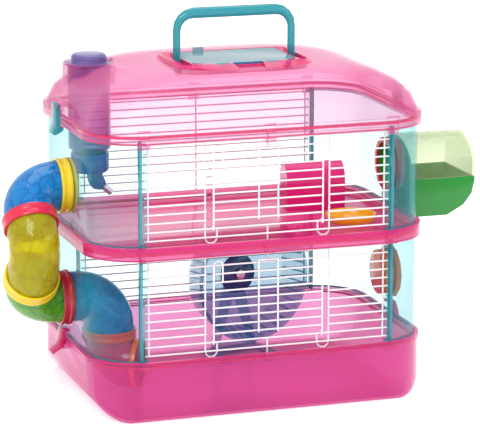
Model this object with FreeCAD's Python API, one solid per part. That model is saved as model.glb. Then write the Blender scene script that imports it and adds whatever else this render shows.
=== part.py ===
"""Two-storey acrylic hamster cage with an outside tube run, built as separate pieces.

Millimetres, +Z up. The origin is the centre of the flat underside of the base tray.
The front of the cage, with its wire doors, faces -Y, and its long way runs along X.
"""
import FreeCAD, Part
import math
import os

V = FreeCAD.Vector
AXIS_X = V(1, 0, 0)
AXIS_Y = V(0, 1, 0)
AXIS_Z = V(0, 0, 1)
LEFT = -1
RIGHT = 1
MITRED = 1            # how a pipe shell turns its corners

# Fits
GAP = 0.3             # a loose seat, or a moving piece beside a fixed one
RUNNING_FIT = 0.05    # radial play of a pin in its bore

# Plan of the clear walls: a long rounded rectangle
WALL_HALF_LENGTH = 198.0
WALL_HALF_DEPTH = 137.5
WALL_CORNER = 58.0
PANEL_THICKNESS = 2.0
RIM_STEP = 4.5        # how far rims and bands stand out from the clear walls

# Levels
TRAY_RIM_BOTTOM = 64.0
RIM_HEIGHT = 6.0
STOREY_SIGHT = 117.0  # clear wall that shows between two rims
BAND_HEIGHT = 15.0
TOP_RING_HEIGHT = 6.5
DOME_RIM_HEIGHT = 6.5
DOME_RISE = 57.0
LIP_DEPTH = 2.5       # how deep a wall's edge sits in its rim

# Moulded walls
TRAY_WALL = 2.5
TRAY_FLOOR = 3.0
TRAY_INSET = 1.5      # the tray wall stands back from its rim
TRAY_END_RADIUS = 40.0
TRAY_SIDE_RADIUS = 6.0
DECK_FLOOR = 2.5
DECK_WALL = 2.5
LEDGE_WIDTH = 11.5
DOME_WALL = 2.5
DOME_LEVELS = (0.0, 0.35, 0.6, 0.8, 0.92, 0.98)     # shares of the dome's rise

# Clips that hold the posts and the wire fronts
CLIP_WIDTH = 13.0
CLIP_PROUD = 1.5
CLIP_DROP = 5.0       # the top ring's clips reach below it
CLIP_RISE = 3.0       # the dome's clips reach above its rim
POST_INSET = 51.0     # post centre inside the end wall
POST_WIDTH = 8.5
POST_DEPTH = 8.0
POST_GROOVE = 3.15    # how deep the fronts' rows reach into a post
PANEL_BEAD = 1.2      # thickening along the foot and head of a clear wall
PANEL_BEAD_HEIGHT = 4.0

# Wire fronts
WIRE_RADIUS = 1.0
GRID_BACK = 3.0       # wire plane behind the outer wall face
ROW_COUNT = 12
FIRST_ROW = 6.2       # lowest row above its rim
LAST_ROW = 1.9        # highest row below the next rim
END_UPRIGHT_INSET = 5.1
JAMB_X = 74.0
JAMB_BEND = 7.0
DOOR_STANDOFF = 0.4   # the door's wires lie in front of the fixed ones
DOOR_INSET = 9.0      # the door's side wires stand inside its jambs
STIFFENER_X = 11.5
STIFFENER_RISE = 3.0
HOOK_RADIUS = 5.3
HOOK_DROP = 20.0
EYE_OUTER = 3.1
EYE_INNER = 1.35
EYE_WIDTH = 2.0
LEG_TOP_REACH = 1.5   # pocket above the upper end of a centre leg

# Tube run
TUBE_RADIUS = 29.0
TUBE_WALL = 2.0
PORT_HEIGHT = 50.0    # port centre above the seat of its panel
ELBOW_RADIUS = 38.6
BEND_STEPS = 5        # mitred lengths of a quarter bend
JOINT_RING_WALL = 3.0
JOINT_RING_LENGTH = 14.0
WALL_RING_LENGTH = 13.0
WALL_STUB = 5.0       # extra straight tube where the run meets the wall
JOINT_RING_GROOVE = 1.0
SLEEVE_WALL = 1.5
SLEEVE_PLAY = 0.2
PORT_PLAY = 0.4
SLEEVE_REACH = 7.0
PORT_FLANGE = 3.0
EXIT_BEND_CLEAR = 2.0     # inside of the exit bend to its turning point
EXIT_MOUTH = 5.3
EXIT_TURN = -32.0
EXIT_RING_WALL = 1.3
EXIT_RING_LENGTH = 4.0

# Water bottle
BOTTLE_END_INSET = 44.5   # bottle axis inside the left end wall
BOTTLE_BACK_INSET = 77.5  # and inside the back wall
BOTTLE_RADIUS = 25.0
BOTTLE_WALL = 1.8
BOTTLE_SEAT_DEPTH = 11.0  # seat of the bottle below the crown of the roof
BOTTLE_LENGTH = 104.0     # seat to shoulder
BOTTLE_PROUD = 13.0       # seat to crown
BOTTLE_FLANGE_REACH = 3.0
BOTTLE_FLANGE = 3.0
BOTTLE_CROWN_STEP = 4.0
BOTTLE_NECK_STEP = 6.5
BOTTLE_NECK = 12.0
BOTTLE_SHOULDER = 6.0
CAP_STEP = 2.5
CAP_HEIGHT = 23.0
CAP_WALL = 2.0
SPOUT_RADIUS = 4.0
SPOUT_BORE = 3.0
SPOUT_OFFSET = 6.0
SPOUT_DROP = 5.0
SPOUT_BEND = 12.0
SPOUT_BEND_STEPS = 3
SPOUT_ANGLE = 50.0
SPOUT_TIP = 20.0
BALL_RADIUS = 2.7
BOTTLE_COLLAR_WALL = 2.5
BOTTLE_COLLAR = 25.0

# Roof hatch and carrying handle
HATCH_HALF_WIDTH = 60.0
HATCH_FRONT = -55.0
HATCH_PROUD = 2.8         # flat top of the hatch above the crown of the roof
LID_LAP = 3.0             # how far the lid's edges rest on the frame
LID_THICKNESS = 2.5
LID_HINGE_Y = 28.4
LID_HINGE_RADIUS = 1.6
LID_PIN_RADIUS = 1.2
LID_PIN_LENGTH = 3.0
LID_CORNER = 24.0
TONGUE_X = 30.0
TONGUE_WIDTH = 13.0
TONGUE_LENGTH = 8.0
TAB_X = -32.0
TAB_WIDTH = 13.0
TAB_HEIGHT = 6.0
TAB_BACK = 6.0            # thumb tab in front of the lid's hinge
SKIRT_DEPTH = 11.8
SKIRT_WALL = 3.2
SKIRT_CORNER = 20.0
COLLAR_DEPTH = 7.3
COLLAR_BROW = 3.0         # the collar's top stands out from its skirt
COLLAR_FLARE = 6.5        # and its foot at the sides and the back
COLLAR_BOW = 38.3         # and its foot at the front
COLLAR_CORNER = 40.0
NOTCH_HALF_WIDTH = 15.0
NOTCH_FLARE = 4.0
NOTCH_REACH = 28.0
NOTCH_DEPTH = 1.2
HANDLE_Y = -14.0
HANDLE_SIDE = 6.5         # handle legs outside the lid's edges
HANDLE_PIVOT_DEPTH = 3.8
HANDLE_RISE = 55.75
HANDLE_BEND = 19.75
HANDLE_BEND_STEPS = 4
HANDLE_FOOT_FLAT = 0.4
HANDLE_LEG_RADIUS = 4.4
HANDLE_BAR_RADIUS = 6.25
HANDLE_FOLD = 78.0
HANDLE_PIN_RADIUS = 2.5

# Side latches
LATCH_HALF_WIDTH = 10.0
LATCH_EAR = 3.0
LATCH_PIN_RADIUS = 1.5
LATCH_PIN_LENGTH = 2.5
LATCH_BARREL = 2.8
ROOF_LATCH_OUT = 11.3     # pivot outside the wall face
ROOF_LATCH_RISE = 11.5    # pivot above the dome's rim
ROOF_BLADE_SET = 0.5
TRAY_LATCH_OUT = 10.5
TRAY_LATCH_DROP = 2.0     # pivot below the tray's rim
CATCH_RISE = 16.0         # top of the wall's catch above the tray latch's pivot
CATCH_HEIGHT = 3.0
CATCH_REACH = 3.0

# Running wheel
WHEEL_X = 51.0
WHEEL_Y = 60.0
WHEEL_AXLE_HEIGHT = 100.5 # above the tray floor
WHEEL_TURN = 13.4
WHEEL_RADIUS = 75.0
WHEEL_BACK_RADIUS = 68.0
WHEEL_DEPTH = 43.0
WHEEL_WALL = 2.0
WHEEL_FLANGE = 1.5
WHEEL_FLANGE_WIDTH = 3.0
TREAD_COUNT = 36
TREAD_HEIGHT = 1.2
TREAD_WIDTH = 1.8
HUB_RADIUS = 24.0
HUB_DEPTH = 6.0
HUB_LAP = 4.0             # how far the hub overlaps the wheel's back plate
HUB_NOSE_RADIUS = 10.0
AXLE_RADIUS = 3.0
AXLE_HEAD_RADIUS = 6.0
AXLE_SHOULDER_RADIUS = 5.0
AXLE_HEAD = 3.0
STAND_THICKNESS = 4.0
STAND_GAP = 1.7
STAND_FOOT_HALF_WIDTH = 40.0
STAND_FOOT_FRONT = 6.0
STAND_FOOT_BACK = 62.0
STAND_FOOT_BAR = 13.0
STAND_HEAD_RADIUS = 10.0

# Hide house and food dish, on the upper deck
HOUSE_X = 120.0
HOUSE_Y = 48.8
HOUSE_TURN = -8.0
HOUSE_LENGTH = 71.0
HOUSE_DEPTH = 45.0
HOUSE_HEIGHT = 56.0
HOUSE_WALL = 2.0
HOUSE_DOOR_HALF = 14.0
HOUSE_DOOR_HEIGHT = 24.0
DISH_X = 138.0
DISH_Y = -34.0
DISH_RADIUS = 30.5
DISH_HEIGHT = 8.5
DISH_WALL = 2.0

# Nest box outside the upper right port, and the plug in the lower right one
NEST_GAP = 10.0           # end wall to nest box
NEST_LENGTH = 83.0
NEST_HALF_DEPTH = 45.0
NEST_DROP = 57.5          # bottom of the nest box below its port
NEST_TUB_HEIGHT = 45.0
NEST_WALL = 2.5
NEST_SIDE_HEIGHT = 25.0   # straight sides of the lid
NEST_CROWN_RISE = 23.0
NEST_BEVEL_RUN = 35.0
NEST_BEVEL_RISE = 40.0
NEST_SLOT_LENGTH = 15.0
NEST_SLOT_WIDTH = 3.0
NEST_SLOT_PITCH = 22.0
NEST_SLOT_ROW = 17.0
CAP_PLUG_DEPTH = 12.0
CAP_FLANGE = 7.0
CAP_RIB_COUNT = 12
CAP_RIB_HEIGHT = 1.0
CAP_RIB_WIDTH = 3.0
CAP_GRIP = 4.0        # width of the bar across the plug

# Worked out from the sizes above
RIM_TOP = TRAY_RIM_BOTTOM + RIM_HEIGHT
LOWER_SEAT = RIM_TOP - LIP_DEPTH
BAND_BOTTOM = RIM_TOP + STOREY_SIGHT
BAND_TOP = BAND_BOTTOM + BAND_HEIGHT
LOWER_CEILING = BAND_BOTTOM + LIP_DEPTH
UPPER_SEAT = BAND_TOP - LIP_DEPTH
DECK_TOP = LOWER_CEILING + DECK_FLOOR
RING_BOTTOM = BAND_TOP + STOREY_SIGHT
UPPER_CEILING = RING_BOTTOM + LIP_DEPTH
RING_TOP = RING_BOTTOM + TOP_RING_HEIGHT
DOME_BASE = RING_TOP + DOME_RIM_HEIGHT
PANEL_HEIGHT = LOWER_CEILING - LOWER_SEAT
RIM_HALF_LENGTH = WALL_HALF_LENGTH + RIM_STEP
RIM_HALF_DEPTH = WALL_HALF_DEPTH + RIM_STEP
RIM_CORNER = WALL_CORNER + RIM_STEP
GRID_Y = WALL_HALF_DEPTH - GRID_BACK
ROW_PITCH = (STOREY_SIGHT - FIRST_ROW - LAST_ROW) / (ROW_COUNT - 1)
WELD_OFFSET = WIRE_RADIUS * math.sqrt(3)   # crossing six-sided wires touch flat on flat
POST_CENTRE = WALL_HALF_LENGTH - POST_INSET
POST_INNER_X = POST_CENTRE - POST_WIDTH / 2
GRID_HALF_WIDTH = POST_INNER_X + POST_GROOVE - GAP
END_UPRIGHT_X = GRID_HALF_WIDTH - END_UPRIGHT_INSET
DOOR_SIDE_X = JAMB_X - DOOR_INSET
PORT_LOWER = LOWER_SEAT + PORT_HEIGHT
PORT_UPPER = UPPER_SEAT + PORT_HEIGHT
PORT_PITCH = PORT_UPPER - PORT_LOWER
ELBOW_LEG = PORT_PITCH / (2 * math.sqrt(2))
ELBOW_STUB = ELBOW_LEG - ELBOW_RADIUS
JOINT_RING_RADIUS = TUBE_RADIUS + JOINT_RING_WALL
EXIT_BEND = TUBE_RADIUS + EXIT_BEND_CLEAR
EXIT_RING_RADIUS = TUBE_RADIUS + GAP + EXIT_RING_WALL
EXIT_HEIGHT = TRAY_FLOOR + 2 * GAP + EXIT_RING_RADIUS
EXIT_STUB = PORT_LOWER - ELBOW_LEG - GAP - EXIT_BEND - EXIT_HEIGHT
SLEEVE_RADIUS = TUBE_RADIUS - TUBE_WALL - SLEEVE_PLAY
PORT_RADIUS = SLEEVE_RADIUS + PORT_PLAY
ROOF_CROWN = DOME_BASE + DOME_RISE
HATCH_TOP = ROOF_CROWN + HATCH_PROUD
LID_HALF_WIDTH = HATCH_HALF_WIDTH + LID_LAP
LID_FRONT = HATCH_FRONT - LID_LAP
LID_BOTTOM = HATCH_TOP - GAP - LID_THICKNESS
LID_HINGE_Z = LID_BOTTOM + LID_THICKNESS / 2
LID_BACK = LID_HINGE_Y + LID_HINGE_RADIUS + 2 * GAP
HANDLE_HALF_WIDTH = LID_HALF_WIDTH + HANDLE_SIDE
HANDLE_CLEAR = HANDLE_LEG_RADIUS + 2 * GAP
HANDLE_PIVOT = HATCH_TOP - HANDLE_PIVOT_DEPTH
HANDLE_TOP = HANDLE_PIVOT + HANDLE_RISE
SKIRT_BOTTOM = HATCH_TOP - SKIRT_DEPTH
SKIRT_HALF_WIDTH = HANDLE_HALF_WIDTH + HANDLE_CLEAR + SKIRT_WALL
SKIRT_FRONT = LID_FRONT - GAP - SKIRT_WALL
SKIRT_BACK = LID_BACK + SKIRT_WALL + LID_THICKNESS / 2
BOTTLE_X = BOTTLE_END_INSET - WALL_HALF_LENGTH
BOTTLE_Y = WALL_HALF_DEPTH - BOTTLE_BACK_INSET
BOTTLE_SEAT = ROOF_CROWN - BOTTLE_SEAT_DEPTH
BOTTLE_BOTTOM = BOTTLE_SEAT - BOTTLE_LENGTH
BOTTLE_TOP = BOTTLE_SEAT + BOTTLE_PROUD
BOTTLE_FLANGE_RADIUS = BOTTLE_RADIUS + BOTTLE_FLANGE_REACH
BOTTLE_CROWN_RADIUS = BOTTLE_RADIUS - BOTTLE_CROWN_STEP
BOTTLE_NECK_RADIUS = BOTTLE_RADIUS - BOTTLE_NECK_STEP
CAP_RADIUS = BOTTLE_RADIUS - CAP_STEP
ROOF_LATCH_HEIGHT = DOME_BASE + ROOF_LATCH_RISE
TRAY_LATCH_HEIGHT = TRAY_RIM_BOTTOM - TRAY_LATCH_DROP
CATCH_TOP = TRAY_LATCH_HEIGHT + CATCH_RISE
WHEEL_Z = TRAY_FLOOR + WHEEL_AXLE_HEIGHT
NEST_INNER = WALL_HALF_LENGTH + NEST_GAP
NEST_OUTER = NEST_INNER + NEST_LENGTH
NEST_BOTTOM = PORT_UPPER - NEST_DROP
NEST_RIM = NEST_BOTTOM + NEST_TUB_HEIGHT
NEST_SHOULDER = NEST_RIM + NEST_SIDE_HEIGHT

pieces = {}


def box(x0, x1, y0, y1, z0, z1):
    """Block between two corners."""
    return Part.makeBox(x1 - x0, y1 - y0, z1 - z0, V(x0, y0, z0))


def cylinder(radius, start, end):
    """Round bar from start to end."""
    run = end.sub(start)
    return Part.makeCylinder(radius, run.Length, start, run)


def rounded_wire(x0, x1, y0, y1, radius, z, front_radius=None):
    """Rounded rectangle at height z; the front pair of corners may have its own radius."""
    front = radius if front_radius is None else front_radius
    corners = [(x1, y0, front, -90), (x1, y1, radius, 0),
               (x0, y1, radius, 90), (x0, y0, front, 180)]
    arcs = []
    for x, y, r, start in corners:
        centre = V(x - math.copysign(r, x - (x0 + x1) / 2), y - math.copysign(r, y - (y0 + y1) / 2), z)
        circle = Part.Circle(centre, AXIS_Z, r)
        arcs.append(Part.Arc(circle, math.radians(start), math.radians(start + 90)))
    edges = []
    for place, arc in enumerate(arcs):
        following = arcs[(place + 1) % 4]
        edges.append(arc.toShape())
        end = arc.value(arc.LastParameter)
        start = following.value(following.FirstParameter)
        if end.distanceToPoint(start) > 1e-6:
            edges.append(Part.LineSegment(end, start).toShape())
    return Part.Wire(edges)


def plan_block(half_length, half_depth, corner, z0, z1):
    """Rounded-rectangle block centred on the cage."""
    wire = rounded_wire(-half_length, half_length, -half_depth, half_depth, corner, z0)
    return Part.Face(wire).extrude(V(0, 0, z1 - z0))


def wall_block(offset, z0, z1):
    """Block with the plan of the clear walls, moved out by offset."""
    return plan_block(WALL_HALF_LENGTH + offset, WALL_HALF_DEPTH + offset, WALL_CORNER + offset, z0, z1)


def wall_ring(outer, inner, z0, z1):
    """Ring between two offsets from the outer face of the clear walls."""
    return wall_block(outer, z0, z1).cut(wall_block(inner, z0 - 1, z1 + 1))


def polygon_block(points, direction):
    """Face through the points, pushed along direction."""
    return Part.Face(Part.makePolygon(points + [points[0]])).extrude(direction)


def turned(profile, origin, axis):
    """Solid of revolution of (radius, distance along axis) pairs."""
    side = axis.cross(AXIS_Z if abs(axis.dot(AXIS_Z)) < 0.9 else AXIS_X)
    side.normalize()
    points = [origin + side * radius + axis * along for radius, along in profile]
    return Part.Face(Part.makePolygon(points + [points[0]])).revolve(origin, axis, 360)


def six_corners(place, side):
    """Corners of a six-sided wire's section at a place, a flat face towards the front."""
    corners = []
    for number in range(6):
        angle = math.radians(60 * number)
        across = side * (WIRE_RADIUS * math.cos(angle))
        corners.append(place + across + AXIS_Y * (WIRE_RADIUS * math.sin(angle)))
    return corners


def wire_rod(start, end):
    """Six-sided wire between two points of the XZ plane."""
    run = end.sub(start)
    side = (run * (1 / run.Length)).cross(AXIS_Y)
    return polygon_block(six_corners(start, side), run)


def wire_bend(end, centre, degrees):
    """Six-sided wire bend in the XZ plane, from its end round its centre."""
    outward = end.sub(centre)
    corners = six_corners(end, outward * (1 / outward.Length))
    return Part.Face(Part.makePolygon(corners + [corners[0]])).revolve(centre, AXIS_Y, degrees)


def moved(shape, turn, x, y, z):
    """Copy of a shape turned about Z and then set at a place."""
    copy = shape.copy()
    copy.rotate(V(0, 0, 0), AXIS_Z, turn)
    copy.translate(V(x, y, z))
    return copy


def mirrored(shape):
    """The same piece for the other end of the cage."""
    return shape.mirror(V(0, 0, 0), AXIS_X)


def save(name, shape):
    """Keep a finished piece under its node name."""
    pieces[name] = shape.removeSplitter() if len(shape.Solids) == 1 else shape


def clip_pads(z0, z1):
    """The raised pads of a rim, front and back, where posts and wire fronts are held."""
    pads = []
    for x in (-POST_CENTRE, 0, POST_CENTRE):
        for side in (-1, 1):
            near = side * (RIM_HALF_DEPTH - 2)
            far = side * (RIM_HALF_DEPTH + CLIP_PROUD)
            pads.append(box(x - CLIP_WIDTH / 2, x + CLIP_WIDTH / 2,
                            min(near, far), max(near, far), z0, z1))
    return pads


def leg_sockets(z0, z1):
    """Pockets for the centre legs of the wire fronts."""
    half = WIRE_RADIUS + GAP
    pockets = []
    for side in (-1, 1):
        y = side * (GRID_Y - WELD_OFFSET)
        pockets.append(box(-half, half, y - half, y + half, z0, z1))
    return pockets


def tray_body(inset, floor):
    """Tray form with rounded lower ends, shrunk by inset and lifted by floor."""
    half_length = RIM_HALF_LENGTH - TRAY_INSET - inset
    half_depth = RIM_HALF_DEPTH - TRAY_INSET - inset
    block = plan_block(half_length, half_depth, RIM_CORNER - TRAY_INSET - inset, floor, RIM_TOP + 1)
    for half, radius, direction in ((half_length, TRAY_END_RADIUS - inset, AXIS_Y),
                                    (half_depth, TRAY_SIDE_RADIUS - inset, AXIS_X)):
        block = block.common(bath_profile(half, radius, floor, direction))
    return block


def bath_profile(half, radius, floor, direction):
    """Long block whose two lower edges are rounded, running along direction."""
    across = AXIS_X if direction is AXIS_Y else AXIS_Y
    lift = V(0, 0, floor)
    start = direction * (-WALL_HALF_LENGTH * 1.5)
    slant = radius * (1 - math.sqrt(0.5))

    def point(distance, height):
        return across * distance + V(0, 0, height) + lift + start

    top = RIM_TOP + 2
    edges = [
        Part.LineSegment(point(-half + radius, 0), point(half - radius, 0)).toShape(),
        Part.Arc(point(half - radius, 0), point(half - slant, slant), point(half, radius)).toShape(),
        Part.LineSegment(point(half, radius), point(half, top)).toShape(),
        Part.LineSegment(point(half, top), point(-half, top)).toShape(),
        Part.LineSegment(point(-half, top), point(-half, radius)).toShape(),
        Part.Arc(point(-half, radius), point(-half + slant, slant), point(-half + radius, 0)).toShape(),
    ]
    return Part.Face(Part.Wire(edges)).extrude(direction * (WALL_HALF_LENGTH * 3))


def make_base_tray():
    """Deep tray with a rounded underside, a ledge for the walls and latch ears at its ends."""
    shell = tray_body(0, 0).common(plan_block(RIM_HALF_LENGTH, RIM_HALF_DEPTH, RIM_CORNER, 0, LOWER_SEAT))
    ledge = wall_ring(RIM_STEP, -LEDGE_WIDTH + RIM_STEP, TRAY_RIM_BOTTOM, LOWER_SEAT)
    lip = wall_ring(RIM_STEP, GAP, LOWER_SEAT, RIM_TOP)
    tray = shell.cut(tray_body(TRAY_WALL, TRAY_FLOOR))
    tray = tray.multiFuse([ledge, lip] + clip_pads(TRAY_RIM_BOTTOM - 2, RIM_TOP))
    pivot_x = WALL_HALF_LENGTH + TRAY_LATCH_OUT
    for side in (LEFT, RIGHT):
        ear = latch_ears(pivot_x, TRAY_LATCH_HEIGHT, RIM_HALF_LENGTH - TRAY_INSET - 1)
        tray = tray.fuse(ear if side == RIGHT else mirrored(ear))
    tray = tray.cut(Part.makeCompound(leg_sockets(LOWER_SEAT - LIP_DEPTH, LOWER_SEAT + 1)))
    save("base_tray", tray)


def latch_ears(pivot_x, pivot_z, root_x):
    """Two ears with bores that carry a side latch, on the right-hand end."""
    barrel = LATCH_BARREL
    ears = []
    for side in (-1, 1):
        near = side * (LATCH_HALF_WIDTH + GAP)
        far = side * (LATCH_HALF_WIDTH + GAP + LATCH_EAR)
        low, high = min(near, far), max(near, far)
        ear = box(root_x, pivot_x, low, high, pivot_z - barrel, pivot_z + barrel)
        ear = ear.fuse(cylinder(barrel, V(pivot_x, low, pivot_z), V(pivot_x, high, pivot_z)))
        bore = cylinder(LATCH_PIN_RADIUS + RUNNING_FIT,
                        V(pivot_x, low - 1, pivot_z), V(pivot_x, high + 1, pivot_z))
        ears.append(ear.cut(bore))
    return ears[0].fuse(ears[1])


def make_side_panel(name, side, seat):
    """Clear end wall that wraps round both corners to a grooved post, with a tube port."""
    top = seat + PANEL_HEIGHT
    wall = wall_ring(0, -PANEL_THICKNESS, seat, top)
    bead = -PANEL_THICKNESS - PANEL_BEAD
    foot = wall_ring(-PANEL_THICKNESS / 2, bead, seat, seat + PANEL_BEAD_HEIGHT)
    head = wall_ring(-PANEL_THICKNESS / 2, bead, top - PANEL_BEAD_HEIGHT, top)
    keep = box(POST_INNER_X, 2 * WALL_HALF_LENGTH, -2 * WALL_HALF_DEPTH, 2 * WALL_HALF_DEPTH,
               seat - 1, top + 1)
    panel = wall.multiFuse([foot, head]).common(keep)
    for face in (-1, 1):
        outer = face * WALL_HALF_DEPTH
        inner = face * (WALL_HALF_DEPTH - POST_DEPTH)
        post = box(POST_INNER_X, POST_INNER_X + POST_WIDTH,
                   min(outer, inner), max(outer, inner), seat, top)
        post = post.common(wall_block(0, seat, top))
        groove_x = GRID_HALF_WIDTH + GAP
        half = WIRE_RADIUS + GAP
        y = face * GRID_Y
        groove = box(POST_INNER_X - 1, groove_x, y - half, y + half, seat - 1, top + 1)
        panel = panel.fuse(post).cut(groove)
    port_z = seat + PORT_HEIGHT
    inside = V(WALL_HALF_LENGTH - 10, 0, port_z)
    panel = panel.cut(cylinder(PORT_RADIUS, inside, V(WALL_HALF_LENGTH + 10, 0, port_z)))
    if seat == LOWER_SEAT:
        catch = box(WALL_HALF_LENGTH - PANEL_THICKNESS / 2, WALL_HALF_LENGTH + CATCH_REACH,
                    -LATCH_HALF_WIDTH, LATCH_HALF_WIDTH, CATCH_TOP - CATCH_HEIGHT, CATCH_TOP)
        panel = panel.fuse(catch)
    save(name, panel if side == RIGHT else mirrored(panel))


def row_height(base, row):
    """Height of a wire row, counted from 1 above a rim."""
    return base + FIRST_ROW + ROW_PITCH * (row - 1)


def make_front_grid(name, base):
    """Welded front: full rows above and below, short rows at both ends and bent door jambs."""
    y = -GRID_Y
    back = y + WELD_OFFSET
    rods = []
    for row in range(1, ROW_COUNT + 1):
        z = row_height(base, row)
        if row <= 2 or row > ROW_COUNT - 2:
            rods.append(wire_rod(V(-GRID_HALF_WIDTH, y, z), V(GRID_HALF_WIDTH, y, z)))
        else:
            for side in (-1, 1):
                rods.append(wire_rod(V(side * GRID_HALF_WIDTH, y, z),
                                     V(side * (JAMB_X - WIRE_RADIUS), y, z)))
    top = row_height(base, ROW_COUNT)
    bottom = row_height(base, 1)
    hinge = row_height(base, 2)
    bend_z = base - LIP_DEPTH + WIRE_RADIUS + GAP + JAMB_BEND
    for side in (-1, 1):
        rods.append(wire_rod(V(side * END_UPRIGHT_X, back, bottom), V(side * END_UPRIGHT_X, back, top)))
        rods.append(wire_rod(V(side * JAMB_X, back, bend_z), V(side * JAMB_X, back, top)))
        inner_x = side * (JAMB_X - 2 * JAMB_BEND)
        centre = V(side * (JAMB_X - JAMB_BEND), back, bend_z)
        rods.append(wire_bend(V(side * JAMB_X, back, bend_z), centre, side * 180))
        rods.append(wire_rod(V(inner_x, back, bend_z), V(inner_x, back, hinge)))
    rods += centre_legs(base, -1)
    save(name, rods[0].multiFuse(rods[1:]))


def centre_legs(base, face):
    """Short upright wires that plug a front into its rims, below and above."""
    y = face * (GRID_Y - WELD_OFFSET)
    seat = base - LIP_DEPTH
    low = V(0, y, seat - LIP_DEPTH + GAP)
    high = V(0, y, seat + PANEL_HEIGHT + 1)
    return [wire_rod(low, V(0, y, row_height(base, 2))),
            wire_rod(V(0, y, row_height(base, ROW_COUNT - 1)), high)]


def make_back_grid(name, base):
    """Welded back: full rows on upright wires."""
    y = GRID_Y
    front = y - WELD_OFFSET
    rods = []
    for row in range(1, ROW_COUNT + 1):
        z = row_height(base, row)
        rods.append(wire_rod(V(-GRID_HALF_WIDTH, y, z), V(GRID_HALF_WIDTH, y, z)))
    top = row_height(base, ROW_COUNT)
    bottom = row_height(base, 1)
    for x in (-END_UPRIGHT_X, END_UPRIGHT_X):
        rods.append(wire_rod(V(x, front, bottom), V(x, front, top)))
    seat = base - LIP_DEPTH
    rods.append(wire_rod(V(0, front, seat - LIP_DEPTH + GAP), V(0, front, seat + PANEL_HEIGHT + 1)))
    save(name, rods[0].multiFuse(rods[1:]))


def make_front_door(name, base):
    """Wire door that hangs in two eyes on the second row and hooks over the eleventh."""
    hinge = row_height(base, 2)
    y = -GRID_Y - DOOR_STANDOFF
    front = y - WELD_OFFSET
    rods = []
    for row in range(3, ROW_COUNT - 1):
        z = row_height(base, row)
        rods.append(wire_rod(V(-DOOR_SIDE_X - WIRE_RADIUS, y, z), V(DOOR_SIDE_X + WIRE_RADIUS, y, z)))
    hook_z = row_height(base, ROW_COUNT - 1)
    stiffener_low = row_height(base, 3) - 2 * WIRE_RADIUS
    stiffener_high = hook_z + STIFFENER_RISE
    for side in (-1, 1):
        x = side * DOOR_SIDE_X
        rods.append(wire_rod(V(x, front, hinge + EYE_INNER), V(x, front, hook_z)))
        centre = V(side * (DOOR_SIDE_X - HOOK_RADIUS), front, hook_z)
        rods.append(wire_bend(V(x, front, hook_z), centre, -side * 180))
        inner = x - side * 2 * HOOK_RADIUS
        rods.append(wire_rod(V(inner, front, hook_z), V(inner, front, hook_z - HOOK_DROP)))
        rods.append(hinge_eye(x, hinge))
        rods.append(wire_rod(V(side * STIFFENER_X, front, stiffener_low),
                             V(side * STIFFENER_X, front, stiffener_high)))
    rods.append(wire_rod(V(-STIFFENER_X, front, stiffener_high), V(STIFFENER_X, front, stiffener_high)))
    save(name, rods[0].multiFuse(rods[1:]))


def hinge_eye(x, z):
    """Closed eight-sided eye round the hinge wire."""
    def octagon(radius):
        angles = [math.radians(45 * number + 22.5) for number in range(8)]
        return [V(x - EYE_WIDTH / 2, -GRID_Y + radius * math.cos(angle), z + radius * math.sin(angle))
                for angle in angles]

    across = V(EYE_WIDTH, 0, 0)
    return polygon_block(octagon(EYE_OUTER), across).cut(polygon_block(octagon(EYE_INNER), across))


def make_mid_deck():
    """Upper floor: a shallow tray whose rim takes the lower walls below and the upper walls above."""
    floor = wall_block(RIM_STEP, LOWER_CEILING, DECK_TOP)
    wall = wall_ring(RIM_STEP, RIM_STEP - DECK_WALL, BAND_BOTTOM, BAND_TOP)
    ledge = wall_ring(RIM_STEP, RIM_STEP - LEDGE_WIDTH, UPPER_SEAT - DECK_WALL, UPPER_SEAT)
    under_lip = wall_ring(RIM_STEP, GAP, BAND_BOTTOM, LOWER_CEILING)
    upper_lip = wall_ring(RIM_STEP, GAP, UPPER_SEAT, BAND_TOP)
    deck = floor.multiFuse([wall, ledge, under_lip, upper_lip] + clip_pads(BAND_BOTTOM, BAND_TOP))
    sockets = leg_sockets(UPPER_SEAT - LIP_DEPTH, UPPER_SEAT + 1)
    sockets += leg_sockets(LOWER_CEILING - 1, LOWER_CEILING + LEG_TOP_REACH)
    save("mid_deck", deck.cut(Part.makeCompound(sockets)))


def make_top_frame():
    """Ring on the upper walls that carries the roof, with the catches for the roof latches."""
    ring = wall_ring(RIM_STEP, RIM_STEP - LEDGE_WIDTH, UPPER_CEILING, RING_TOP)
    lip = wall_ring(RIM_STEP, GAP, RING_BOTTOM, UPPER_CEILING)
    frame = ring.multiFuse([lip] + clip_pads(RING_BOTTOM - CLIP_DROP, RING_TOP))
    frame = frame.cut(wall_block(GAP, RING_BOTTOM - CLIP_DROP - 1, RING_BOTTOM))
    catch_outer = WALL_HALF_LENGTH + ROOF_LATCH_OUT - LATCH_BARREL + ROOF_BLADE_SET - GAP
    catch = box(RIM_HALF_LENGTH - 1, catch_outer, -LATCH_HALF_WIDTH, LATCH_HALF_WIDTH,
                RING_BOTTOM, RING_TOP)
    frame = frame.multiFuse([catch, mirrored(catch)])
    sockets = leg_sockets(UPPER_CEILING - 1, UPPER_CEILING + LEG_TOP_REACH)
    save("top_frame", frame.cut(Part.makeCompound(sockets)))


def dome_form(inset):
    """Roof form: rounded rectangles that close in towards a nearly flat crown."""
    wires = []
    rise = DOME_RISE - inset
    for share in DOME_LEVELS:
        left = 1 - share ** 1.75
        half_length = (WALL_HALF_LENGTH - inset) * left ** (1 / 4.47)
        half_depth = (WALL_HALF_DEPTH - inset) * left ** (1 / 6.71)
        corner = (WALL_CORNER - inset) * (0.9 + 0.35 * share) * left ** 0.1
        wires.append(rounded_wire(-half_length, half_length, -half_depth, half_depth,
                                  min(corner, half_depth * 0.95), DOME_BASE + rise * share))
    return Part.makeLoft(wires, True, True)


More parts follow.
